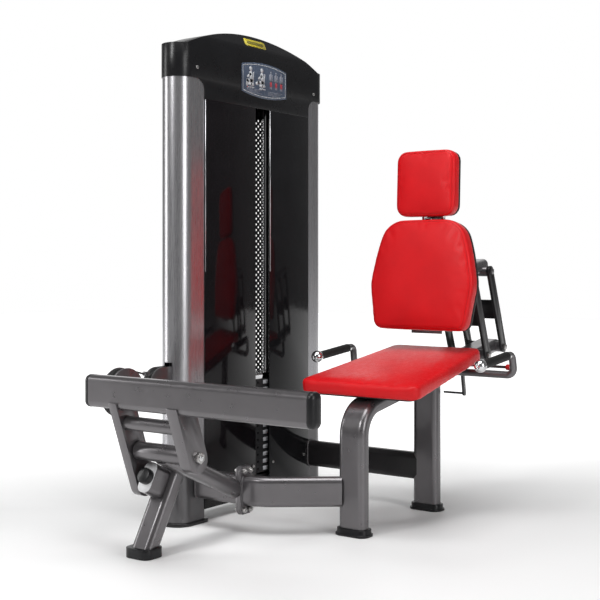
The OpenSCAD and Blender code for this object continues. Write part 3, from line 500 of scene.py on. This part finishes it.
def gather(obj, inverse, front, deepest, outward, size):
    """Shallow gathers along the front edge, where the cover is pulled round the board."""
    for vert in obj.data.vertices:
        local = inverse @ vert.co
        if local.y < deepest:
            edge = math.exp(-((local.z - front) / 0.045) ** 2)
            wave = math.sin(local.x * 74 + 1.3) * math.sin(local.x * 31 + 0.4)
            vert.co -= outward * size * edge * wave


def bowed(outline, side, across):
    """The outline with its sides bowed outwards, most in the upper half, and all of it moved across."""
    low, high = min(p.y for p in outline), max(p.y for p in outline)

    def bow(p):
        return math.copysign(side * math.sin(math.pi * ((p.y - low) / (high - low)) ** 2), p.x)

    return [Vector((p.x + across + bow(p), p.y)) for p in even_outline(outline, OUTLINE_STEP)]


def smoothed(obj, iterations):
    smooth = obj.modifiers.new("smooth", "SMOOTH")
    smooth.factor = 0.5
    smooth.iterations = iterations
    apply_modifiers(obj)


def cushion(name, points, lean, seat, body, node, shrink, cap, pressure, seam_in,
            folds=0.0, side=0.0, across=0.0):
    """A stuffed cushion with a sewn edge seam, and its board, in the space of one CAD solid.

    shrink, cap, seam_in, folds, side and across are lengths in metres: how far the cover's outline lies
    inside the CAD one, how far the cloth may move, how far the seam lies inside the cover's edge, how
    deep the gathers are, how far the sides bow, and how far the cushion is moved across."""
    basis, face, deep, outline = pad_frame(points, lean, seat)
    outline = bowed(outline, side, across)
    back = deep if seat else deep - BOARD
    start = inset_outline(even_outline(outline, OUTLINE_STEP), shrink)

    def to_world(x, y, z):
        return basis @ Vector((x, y, z))

    # closed cover: back rim, side, two rounded edges and a slightly crowned face
    bm = bmesh.new()
    rings = []
    for inset, depth in ((0.003, back), (0.0, back - 0.005), (0.0, face + 0.014),
                         (0.002, face + 0.007), (0.008, face + 0.003), (0.030, face + 0.002)):
        rings.append([bm.verts.new(to_world(p.x, depth, p.y)) for p in inset_outline(start, inset)])
    skin(bm, rings)
    bmesh.ops.triangulate(bm, faces=bm.faces)
    obj = add(name, mesh_from(name, bm), body, "upholstery_red", smooth=0)
    remesh = obj.modifiers.new("remesh", "REMESH")
    remesh.mode = "VOXEL"
    remesh.voxel_size = 0.0055
    bpy.context.view_layer.update()
    apply_modifiers(obj)
    smoothed(obj, 3)
    inverse = basis.inverted()
    puffed(obj, lambda p: (inverse @ p).y > back - 0.004, cap, pressure)
    smoothed(obj, 4)
    division = obj.modifiers.new("subdivision", "SUBSURF")
    division.levels = 1
    bpy.context.view_layer.update()
    apply_modifiers(obj)

    if seam_in:
        sew(name, obj, body, outline, shrink + seam_in, basis, face)
    if folds:
        gather(obj, inverse, min(q.y for q in outline), face + 0.03, basis @ Vector((0, -1, 0)), folds)
    for polygon in obj.data.polygons:
        polygon.use_smooth = True

    # the board, a little larger than the CAD outline so that its edge shows
    outward = basis @ Vector((0, -1, 0))
    if not seat:
        bm = bmesh.new()
        board = inset_outline(even_outline(outline, OUTLINE_STEP), -0.002)
        prism(bm, [to_world(p.x, back + 0.0004, p.y) for p in board], -outward, BOARD - 0.0008)
        panel = add(name + "_board", mesh_from(name + "_board", bm), body, "board_black", smooth=0)
        bevel = panel.modifiers.new("bevel", "BEVEL")
        bevel.width = 0.002
        bevel.segments = 2
        bevel.limit_method = "ANGLE"
        apply_modifiers(panel)
    if node:
        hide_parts(node)
    return obj


def strip_of(line, outward):
    """A narrow closed ribbon along a line, for distance tests."""
    verts, faces = [], []
    for p in line:
        verts += [p - outward * 0.0005, p + outward * 0.0005]
    count = len(line)
    for i in range(count):
        a, b = 2 * i, 2 * ((i + 1) % count)
        faces.append((a, b, b + 1, a + 1))
    return verts, faces


def upholstery():
    seat = islands("seat_pad")[0]
    cushion("seat_cushion", seat, SEAT_TILT, True, "frame", "seat_pad", -0.003, 0.008, 1.0, None, 0.0014)
    back, head = islands("back_cushions")
    cushion("back_cushion", back, -BACK_LEAN, False, "backrest", "back_cushions", -0.004, 0.009, 1.0, 0.009,
            side=0.012, across=-0.004)
    cushion("head_cushion", head, -HEAD_LEAN, False, "backrest", None, -0.005, 0.008, 1.0, 0.009,
            across=-0.004)


def post_plate():
    """Flat bright plate between the two headrest posts, in the gap between the cushions."""
    back, head = islands("back_cushions")
    gap_low, gap_high = max(p.z for p in back), min(p.z for p in head)
    thick, tuck = 0.003, 0.03
    low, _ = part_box("headrest_posts")
    ends = [p for p in islands("headrest_posts")[0] if p.z < low.z + 0.012]
    middle = (min(p.x for p in ends) + max(p.x for p in ends)) / 2
    rings = [[p for p in ends if p.x < middle], [p for p in ends if p.x >= middle]]
    left, right = (sum(ring, Vector()) / len(ring) for ring in rings)
    spokes = [p - left for p in rings[0]]
    up = max((spokes[0].cross(q) for q in spokes), key=lambda v: v.length).normalized()
    if up.z < 0:
        up = -up
    out = up.cross(right - left).normalized()
    bottom, top = (gap_low - left.z - tuck) / up.z, (gap_high - left.z + tuck) / up.z
    corners = (left + up * bottom, right + up * bottom, right + up * top, left + up * top)
    bm = bmesh.new()
    prism(bm, [p - out * thick / 2 for p in corners], out, thick)
    add("post_plate", mesh_from("post_plate", bm), "backrest", SLOT_OF["headrest_posts"], STRIP_METAL,
        smooth=0)


# ---------- tower details ----------

def perforated_sheet():
    """The guard behind the tower, with staggered round holes."""
    low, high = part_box("perforated_guard")
    pitch_y, pitch_z, hole, margin, sides = 0.026, 0.0108, 0.0046, 0.012, 8
    columns = int((high.y - low.y - 2 * margin) / pitch_y)
    rows = int((high.z - low.z - 2 * margin) / pitch_z)
    y0 = (low.y + high.y - columns * pitch_y) / 2
    z0 = (low.z + high.z - rows * pitch_z) / 2
    bm = bmesh.new()
    made = {}

    def corner(i, j):
        if (i, j) not in made:
            made[i, j] = bm.verts.new((0, y0 + i * pitch_y / 2, z0 + j * pitch_z / 2))
        return made[i, j]

    for r in range(rows):
        j = 2 * r
        first = r % 2
        for c in range(columns - first):
            i = 2 * c + first
            frame_corners = [corner(i, j), corner(i + 1, j), corner(i + 2, j), corner(i + 2, j + 1),
                             corner(i + 2, j + 2), corner(i + 1, j + 2), corner(i, j + 2), corner(i, j + 1)]
            cy, cz = y0 + (i + 1) * pitch_y / 2, z0 + (r + 0.5) * pitch_z
            inner = [bm.verts.new((0, cy + hole * math.cos(a), cz + hole * math.sin(a)))
                     for a in (-0.75 * math.pi + 2 * math.pi * k / sides for k in range(sides))]
            for k in range(sides):
                m = (k + 1) % sides
                bm.faces.new((frame_corners[k], frame_corners[m], inner[m], inner[k]))
        if first:
            # plain half cells at both ends of a staggered row
            for i in (0, 2 * columns - 1):
                bm.faces.new((corner(i, j), corner(i + 1, j), corner(i + 1, j + 1), corner(i + 1, j + 2),
                              corner(i, j + 2), corner(i, j + 1)))
    y1, z1 = y0 + columns * pitch_y, z0 + rows * pitch_z
    for a, b in (((low.y, low.z), (high.y, z0)), ((low.y, z1), (high.y, high.z)),
                 ((low.y, z0), (y0, z1)), ((y1, z0), (high.y, z1))):
        bm.faces.new([bm.verts.new((0, *p)) for p in (a, (b[0], a[1]), b, (a[0], b[1]))])
    bmesh.ops.remove_doubles(bm, verts=bm.verts, dist=1e-6)
    for v in bm.verts:
        v.co.x = low.x + 0.001
    obj = add("guard_sheet", mesh_from("guard_sheet", bm), "frame", "guard_black", smooth=0)
    solid = obj.modifiers.new("thickness", "SOLIDIFY")
    solid.thickness = 0.0015
    solid.offset = 0
    bpy.context.view_layer.update()
    apply_modifiers(obj)
    for face in obj.data.polygons:
        face.use_smooth = False
    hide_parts("perforated_guard")


def disc(bm, x, y, z, r, t, sides=20):
    points = [(x, y + r * math.cos(a), z + r * math.sin(a))
              for a in (2 * math.pi * k / sides for k in range(sides))]
    prism(bm, points, (1, 0, 0), t)


def stroke(bm, x, a, b, r, t):
    """A flat capsule between two (y, z) points, standing out along X."""
    a, b = Vector(a), Vector(b)
    turn = math.atan2(b.y - a.y, b.x - a.x)
    points = []
    for centre, start in ((b, turn - math.pi / 2), (a, turn + math.pi / 2)):
        for i in range(7):
            ang = start + math.pi * i / 6
            points.append((x, centre.x + r * math.cos(ang), centre.y + r * math.sin(ang)))
    prism(bm, points, (1, 0, 0), t)


def placard_print():
    """Border and generic exercise pictograms of the placard, in thin relief."""
    low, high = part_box("placard")
    x, t = high.x + 0.00002, 0.0004
    mid_y, mid_z = (low.y + high.y) / 2, (low.z + high.z) / 2
    w, h = high.y - low.y, high.z - low.z

    # border line that follows the bowed top and bottom
    def rim(inset):
        side_drop = 0.0135
        pts = []
        for s in (1, -1):
            for i in range(13):
                f = -1 + 2 * i / 12
                f *= -s
                pts.append((mid_y + f * (w / 2 - inset), mid_z + s * (h / 2 - inset - side_drop * f * f)))
        return pts

    bm = bmesh.new()
    outer, inner = rim(0.006), rim(0.0082)
    count = len(outer)
    for i in range(count):
        j = (i + 1) % count
        prism(bm, [(x, *outer[i]), (x, *outer[j]), (x, *inner[j]), (x, *inner[i])], (1, 0, 0), t)

    # two seated figures on a seat, one with the legs stretched
    for k, reach in enumerate((0.0, 0.010)):
        y0, z0 = low.y + 0.052 + k * 0.066, mid_z - 0.002
        disc(bm, x, y0, z0 + 0.039, 0.0086, t)
        stroke(bm, x, (y0, z0 + 0.022), (y0 + 0.004, z0 - 0.002), 0.0092, t)
        stroke(bm, x, (y0 + 0.004, z0 - 0.006), (y0 - 0.018, z0 - 0.006), 0.0068, t)
        stroke(bm, x, (y0 - 0.018, z0 - 0.006), (y0 - 0.022 - reach, z0 - 0.022 + reach), 0.0056, t)
        stroke(bm, x, (y0 - 0.002, z0 + 0.018), (y0 - 0.018, z0 + 0.008), 0.0044, t)
        stroke(bm, x, (y0 - 0.012, z0 - 0.018), (y0 + 0.016, z0 - 0.018), 0.0046, t)
        stroke(bm, x, (y0 + 0.013, z0 - 0.012), (y0 + 0.017, z0 + 0.026), 0.0026, t)
        stroke(bm, x, (y0 + 0.004, z0 - 0.016), (y0 + 0.004, z0 - 0.028), 0.0026, t)
        stroke(bm, x, (y0 - 0.014, z0 - 0.029), (y0 + 0.020, z0 - 0.029), 0.0020, t)
    add("placard_print", mesh_from("placard_print", bm), "frame", "placard", LIGHT_PRINT, smooth=0)

    # three standing figures with the trained muscles marked, and rows of plain lines
    faint, marks = bmesh.new(), bmesh.new()
    for k in range(3):
        y0, z0 = mid_y + 0.038 + k * 0.032, mid_z + 0.004
        disc(faint, x, y0, z0 + 0.033, 0.0045, t)
        stroke(faint, x, (y0, z0 + 0.024), (y0, z0 + 0.004), 0.0064, t)
        for s in (-1, 1):
            stroke(faint, x, (y0 + s * 0.0085, z0 + 0.024), (y0 + s * 0.0100, z0 + 0.004), 0.0016, t)
            stroke(faint, x, (y0 + s * 0.0032, z0 + 0.000), (y0 + s * 0.0036, z0 - 0.026), 0.0026, t)
            stroke(marks, x + t, (y0 + s * 0.0034, z0 - 0.004), (y0 + s * 0.0036, z0 - 0.018), 0.0026, t / 2)
    for k in range(2):
        for i in range(4):
            z = mid_z - 0.036 - i * 0.0042
            left = low.y + 0.028 if k == 0 else mid_y + 0.020
            stroke(faint, x, (left, z), (left + 0.088 - 0.010 * (i % 3), z), 0.0007, t)
    stroke(marks, x, (low.y + 0.030, mid_z - 0.031), (low.y + 0.050, mid_z - 0.031), 0.0009, t)
    add("placard_figures", mesh_from("placard_figures", faint), "frame", "placard",
        FAINT_PRINT, smooth=0)
    add("placard_marks", mesh_from("placard_marks", marks), "frame", "placard", RED_PRINT, smooth=0)


def crown_sticker():
    """Plain two-tone sticker on the sloping side of the hood's crown."""
    low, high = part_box("hood")
    rise = high.z + 0.010 - HOOD_CREASE
    up = Vector((-CROWN_IN, 0, rise)).normalized()
    out = Vector((rise, 0, CROWN_IN)).normalized()
    origin = Vector((high.x, low.y + 0.420, HOOD_CREASE)) + out * 0.0002

    def outline(w, h, r, lift):
        pts = []
        for y, z in rounded_rect(w, h, r):
            bow = -0.004 * (2 * y / w) ** 2
            pts.append(origin + Vector((0, y, 0)) + up * (0.027 + z + bow) + out * lift)
        return pts

    bm = bmesh.new()
    prism(bm, outline(0.124, 0.030, 0.006, 0.0), out, 0.0006)
    add("crown_sticker", mesh_from("crown_sticker", bm), "frame", "hood_black", YELLOW_PRINT, smooth=0)
    bm = bmesh.new()
    prism(bm, outline(0.096, 0.013, 0.005, 0.0006), out, 0.0003)
    add("crown_sticker_band", mesh_from("crown_sticker_band", bm), "frame", "hood_black", OLIVE_PRINT,
        smooth=0)


def painted_edge_highlights():
    """Bright metal strips on the upper front edges of the two tower panels: painted highlights that stand in
    for the edges' highlights.
    """
    share = 0.42
    bm = bmesh.new()
    for node, width in (("smoked_shield", 0.0035), ("dark_shield", 0.0055)):
        low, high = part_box(node)
        section = [(high.x - 0.001, low.y + 0.0004), (high.x + 0.0012, low.y + 0.0004),
                   (high.x + 0.0022, low.y + width / 2), (high.x + 0.0012, low.y + width),
                   (high.x - 0.001, low.y + width)]
        length = share * (high.z - low.z)
        prism(bm, [(x, y, high.z - 0.002 - length) for x, y in section], (0, 0, 1), length)
    add("painted_edge_highlights", mesh_from("painted_edge_highlights", bm), "frame", "smoked", STRIP_METAL, smooth=0)


def plate_labels():
    """Small blank labels on the front edge of each weight plate."""
    for node, body in (("resting_weights", "frame"), ("lifted_weights", "lifted_stack")):
        bm = bmesh.new()
        for solid in islands(node):
            z = (min(p.z for p in solid) + max(p.z for p in solid)) / 2
            x = max(p.x for p in solid)
            y = (min(p.y for p in solid) + max(p.y for p in solid)) / 2
            points = [(x + 0.0001, y + 0.045 + a, z + b) for a, b in rounded_rect(0.030, 0.014, 0.002)]
            prism(bm, points, (1, 0, 0), 0.0004)
        add(node + "_labels", mesh_from(node + "_labels", bm), body, "weight_iron", LIGHT_PRINT, smooth=0)


# ---------- handles and frame details ----------

def grip_sleeves():
    """Ribbed rubber sleeves on the two hand tubes, with a steel collar at the back."""
    sleeves, collars = bmesh.new(), bmesh.new()
    for solid in islands("hand_grips"):
        front = min(p.y for p in solid)
        back = max(p.y for p in solid)
        ring_a = [p for p in solid if p.y < front + 0.010]
        ring_b = [p for p in solid if p.y > back - 0.010]
        a = sum(ring_a, Vector()) / len(ring_a)
        b = sum(ring_b, Vector()) / len(ring_b)
        length = (b - a).length
        profile = [(0.0, 0.0134), (0.0008, 0.0146), (0.003, 0.0156), (0.012, 0.0156), (0.014, 0.0148)]
        ribs = int((length - 0.030) / 0.006)
        for i in range(ribs):
            s = 0.016 + i * 0.006
            profile += [(s, 0.0147), (s + 0.0012, 0.0154), (s + 0.0032, 0.0154), (s + 0.0044, 0.0147)]
        profile += [(length - 0.012, 0.0148), (length - 0.010, 0.0156), (length - 0.002, 0.0156),
                    (length, 0.0146), (length, 0.0134)]
        lathe(sleeves, profile, a, b - a)
        lathe(collars, [(0.0002, 0.0133), (0.0006, 0.0142), (0.0100, 0.0142), (0.0106, 0.0133)], b, b - a)
    obj = add("grip_sleeves", mesh_from("grip_sleeves", sleeves), "frame", "grip_black", smooth=50)
    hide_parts("hand_grips")
    add("grip_collars", mesh_from("grip_collars", collars), "frame", "rod_chrome", smooth=40)


# Share of a cap's length, and how far its outline has drawn in by there
CAP_PROFILE = ((0.0, 0.0016), (0.04, 0.0004), (0.10, 0.0), (0.45, 0.0003), (0.66, 0.0022),
               (0.82, 0.0058), (0.93, 0.0110), (0.985, 0.0165), (1.0, 0.0215))


def domed_caps():
    """Soft black caps in the foot bar's two ends, with a pillow-shaped face."""
    low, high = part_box("bar_caps")
    bar_low, bar_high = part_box("foot_bar")
    cy, cz = (bar_low.y + bar_high.y) / 2, (bar_low.z + bar_high.z) / 2
    w, h = bar_high.y - bar_low.y, bar_high.z - bar_low.z
    bm = bmesh.new()
    for start, end in ((bar_low.x, low.x), (bar_high.x, high.x)):
        reach = end - start
        rings = []
        for f, inset in CAP_PROFILE:
            r = max(0.020 - inset, 0.0015)
            rings.append([bm.verts.new((start + reach * f, cy + y, cz + z))
                          for y, z in rounded_rect(w + 0.001 - 2 * inset, h + 0.001 - 2 * inset, r, 8)])
        skin(bm, rings)
    obj = add("domed_caps", mesh_from("domed_caps", bm), "foot_bar_arm", "rubber_black", smooth=50)
    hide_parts("bar_caps")


def weld_ring(centre, across, up, w, h, r, name, body="frame"):
    """A bead of weld round a flat-oval tube."""
    across, up = Vector(across).normalized(), Vector(up).normalized()
    path = []
    corners = rounded_rect(w, h, r, 8)
    line = corners + [corners[0]]
    for (ax, ay), (bx, by) in zip(line, line[1:]):
        n = max(1, int(math.hypot(bx - ax, by - ay) / 0.004))
        path += [Vector(centre) + across * (ax + (bx - ax) * i / n) + up * (ay + (by - ay) * i / n)
                 for i in range(n)]
    bm = bmesh.new()
    tube(bm, path, 0.0027, 8, closed=True, wobble=0.22)
    add(name, mesh_from(name, bm), body, "silver_paint", WELD, smooth=60)


def welds():
    low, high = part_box("foot_bar")
    tube_w, tube_h = high.y - low.y, high.z - low.z
    low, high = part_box("main_tube")
    y, z = (low.y + high.y) / 2, (low.z + high.z) / 2
    weld_ring((low.x + 0.001, y, z), (0, 1, 0), (0, 0, 1), tube_w, tube_h, 0.02, "tower_weld")
    weld_ring((high.x - 0.001, y, z), (0, 1, 0), (0, 0, 1), tube_w, tube_h, 0.02, "flange_weld")
    _, flange_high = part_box("flange_plates")
    weld_ring((flange_high.x + 0.001, y, z), (0, 1, 0), (0, 0, 1), tube_w, tube_h, 0.02, "flange_rear_weld")
    low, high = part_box("rear_cross_tube")
    y, z = (low.y + high.y) / 2, (low.z + high.z) / 2
    weld_ring((low.x + 0.001, y, z), (0, 1, 0), (0, 0, 1), tube_w, tube_h, 0.02, "rear_tube_weld")


def stub_plate():
    """Bright plate that closes the end of the bumper's stub tube."""
    bm = bmesh.new()
    bm.from_mesh(NODES["bumper_block"].data)
    bmesh.ops.remove_doubles(bm, verts=bm.verts, dist=2e-5)
    bmesh.ops.dissolve_limit(bm, angle_limit=math.radians(0.4), verts=bm.verts, edges=bm.edges)
    end = max((f for f in bm.faces if f.normal.y < -0.7), key=lambda f: f.calc_area())
    points = [v.co.copy() for v in end.verts]
    out = end.normal.copy()
    bm.free()
    bm = bmesh.new()
    prism(bm, [p + out * 0.0001 for p in points], out, 0.0012)
    add("stub_plate", mesh_from("stub_plate", bm), "frame", "silver_paint", END_PLATE, smooth=0)


def lever_grip():
    """Tapered red grip on the release lever's end."""
    _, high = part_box("release_lever")
    joint = next(j for j in frame["record"]["behaviour"]["joints"] if j["name"] == "release_lever_turn")
    _, y, z = joint["pos_m"]
    length = 0.0362
    profile = [(0, 0.0096), (0.001, 0.0104), (0.010, 0.0108), (0.028, 0.0122), (0.034, 0.0116),
               (length, 0.0092)]
    bm = bmesh.new()
    lathe(bm, profile, (high.x - length, y, z), (1, 0, 0), 32)
    add("lever_grip", mesh_from("lever_grip", bm), "release_lever", "pin_red", smooth=50)


SOFT_EDGES = {
    "hood": 0.0028, "placard": 0.0006, "smoked_shield": 0.0008, "dark_shield": 0.0008, "base_plates": 0.0025,
    "flange_plates": 0.0018, "frame_fasteners": 0.0008, "left_arm": 0.004, "right_arm": 0.004,
    "bumper_block": 0.003, "rubber_feet": 0.0035, "column_bracket": 0.0008, "arm_pulley": 0.0012,
    "column_pulley": 0.0012, "resting_weights": 0.0012, "lifted_weights": 0.0012, "selector_rod": 0.0008,
    "selector_pin": 0.0015, "front_links": 0.0016, "rear_links": 0.0016, "back_frame": 0.0012,
    "pivot_nuts": 0.001, "pivot_shaft": 0.0015, "link_pins": 0.0008, "headrest_posts": 0.001,
    "release_lever": 0.001, "pulley_outrigger": 0.0014, "pivot_housing": 0.0014, "seat_board": 0.0015,
    "bumper": 0.002, "ball_ends": 0.0006, "lever_bracket": 0.0008,
}


# Soft boxes: place, width, height and power
ROOM_LIGHT = 0.17
BACKDROP_LIGHT = 1.0
LAMPS = (("front_strip", (-1.0, -4.2, 3.2), 0.9, 1.6, 75), ("left_strip", (-3.6, -2.2, 1.4), 0.9, 3.0, 45),
         ("right_fill", (3.8, -0.8, 1.8), 1.4, 2.4, 55), ("top", (0.3, -0.8, 3.9), 2.4, 2.4, 95))


def seen_or(tree, seen, cast):
    """The larger of two values, the first of which counts only where it is seen directly."""
    path = tree.nodes.new("ShaderNodeLightPath")
    product = tree.nodes.new("ShaderNodeMath")
    product.operation = "MULTIPLY"
    tree.links.new(path.outputs["Is Camera Ray"], product.inputs[0])
    if isinstance(seen, float):
        product.inputs[1].default_value = seen
    else:
        tree.links.new(seen, product.inputs[1])
    larger = tree.nodes.new("ShaderNodeMath")
    larger.operation = "MAXIMUM"
    tree.links.new(product.outputs[0], larger.inputs[0])
    tree.links.new(cast, larger.inputs[1])
    return larger.outputs[0]


def floor_and_light():
    """Pale floor, soft boxes and a bright world."""
    bm = bmesh.new()
    size = 14.0
    corners = ((-size, -size, 0), (size, -size, 0), (size, size, 0), (-size, size, 0))
    bm.faces.new([bm.verts.new(p) for p in corners])
    mesh = mesh_from("floor", bm)
    mat, tree, shader = tree_of("floor_white")
    cloud = spread(tree, noise(tree, 0.7, 3.0), 0, 1)
    pale = blend_colour(tree, cloud, (0.90, 0.90, 0.90), (0.93, 0.93, 0.93))
    tree.links.new(pale, shader.inputs["Base Color"])
    shader.inputs["Roughness"].default_value = 0.55
    shader.inputs["Specular IOR Level"].default_value = 0.2
    # the floor brightens into the backdrop behind the machine, and to the eye all round it
    far = tree.nodes.new("ShaderNodeVectorMath")
    far.operation = "DOT_PRODUCT"
    far.inputs[1].default_value = (-math.sin(CAMERA_YAW), math.cos(CAMERA_YAW), 0)
    tree.links.new(place_input(tree), far.inputs[0])
    away = tree.nodes.new("ShaderNodeVectorMath")
    away.operation = "LENGTH"
    tree.links.new(place_input(tree), away.inputs[0])
    behind = spread(tree, far.outputs["Value"], 0.0, 0.95, (0.4, 2.8))
    around = spread(tree, away.outputs["Value"], 0.0, 0.95, (1.6, 3.4))
    shader.inputs["Emission Color"].default_value = (1, 1, 1, 1)
    tree.links.new(seen_or(tree, around, behind), shader.inputs["Emission Strength"])
    mesh.materials.append(mat)
    floor = bpy.data.objects.new("floor", mesh)
    floor.location.z = -0.0005
    bpy.context.scene.collection.objects.link(floor)

    world = bpy.data.worlds.new("studio")
    bpy.context.scene.world = world
    world.use_nodes = True
    tree = world.node_tree
    background = tree.nodes["Background"]
    background.inputs["Color"].default_value = (1, 1, 1, 1)
    # a white backdrop to the eye, which lights the machine from behind, and a dim room elsewhere
    coords = tree.nodes.new("ShaderNodeTexCoord")
    facing = tree.nodes.new("ShaderNodeVectorMath")
    facing.operation = "DOT_PRODUCT"
    facing.inputs[1].default_value = (-math.sin(CAMERA_YAW), math.cos(CAMERA_YAW), 0)
    tree.links.new(coords.outputs["Generated"], facing.inputs[0])
    glow = spread(tree, facing.outputs["Value"], ROOM_LIGHT, BACKDROP_LIGHT, (0.78, 0.90))
    tree.links.new(seen_or(tree, BACKDROP_LIGHT, glow), background.inputs["Strength"])

    target = Vector((-0.25, 0.0, 0.75))
    for name, at, width, height, power in LAMPS:
        light = bpy.data.lights.new(name, "AREA")
        light.shape = "RECTANGLE"
        light.size, light.size_y = width, height
        light.energy = power
        lamp = bpy.data.objects.new(name, light)
        lamp.location = at
        lamp.rotation_euler = (target - Vector(at)).to_track_quat("-Z", "Y").to_euler()
        bpy.context.scene.collection.objects.link(lamp)


def camera():
    data = bpy.data.cameras.new("photo_view")
    data.sensor_width = SENSOR
    data.lens = FOCAL_WIDTHS * SENSOR
    data.shift_y = CAMERA_SHIFT
    data.clip_end = 60
    view = bpy.data.objects.new("photo_view", data)
    view.location = CAMERA_AT
    view.rotation_euler = (math.pi / 2, 0, CAMERA_YAW)
    bpy.context.scene.collection.objects.link(view)
    bpy.context.scene.camera = view


for node, obj in NODES.items():
    obj.data.materials.clear()
    obj.data.materials.append(MATERIALS[SLOT_OF[node]])
for node, width in SOFT_EDGES.items():
    softened(node, width)
camera()
floor_and_light()
perforated_sheet()
placard_print()
crown_sticker()
# bright strips on the panels' upper front edges: painted highlights in place of the edges' highlights
painted_edge_highlights()
plate_labels()
grip_sleeves()
domed_caps()
welds()
stub_plate()
lever_grip()
upholstery()
post_plate()
bpy.context.scene.view_settings.view_transform = "Standard"

bpy.context.view_layer.update()
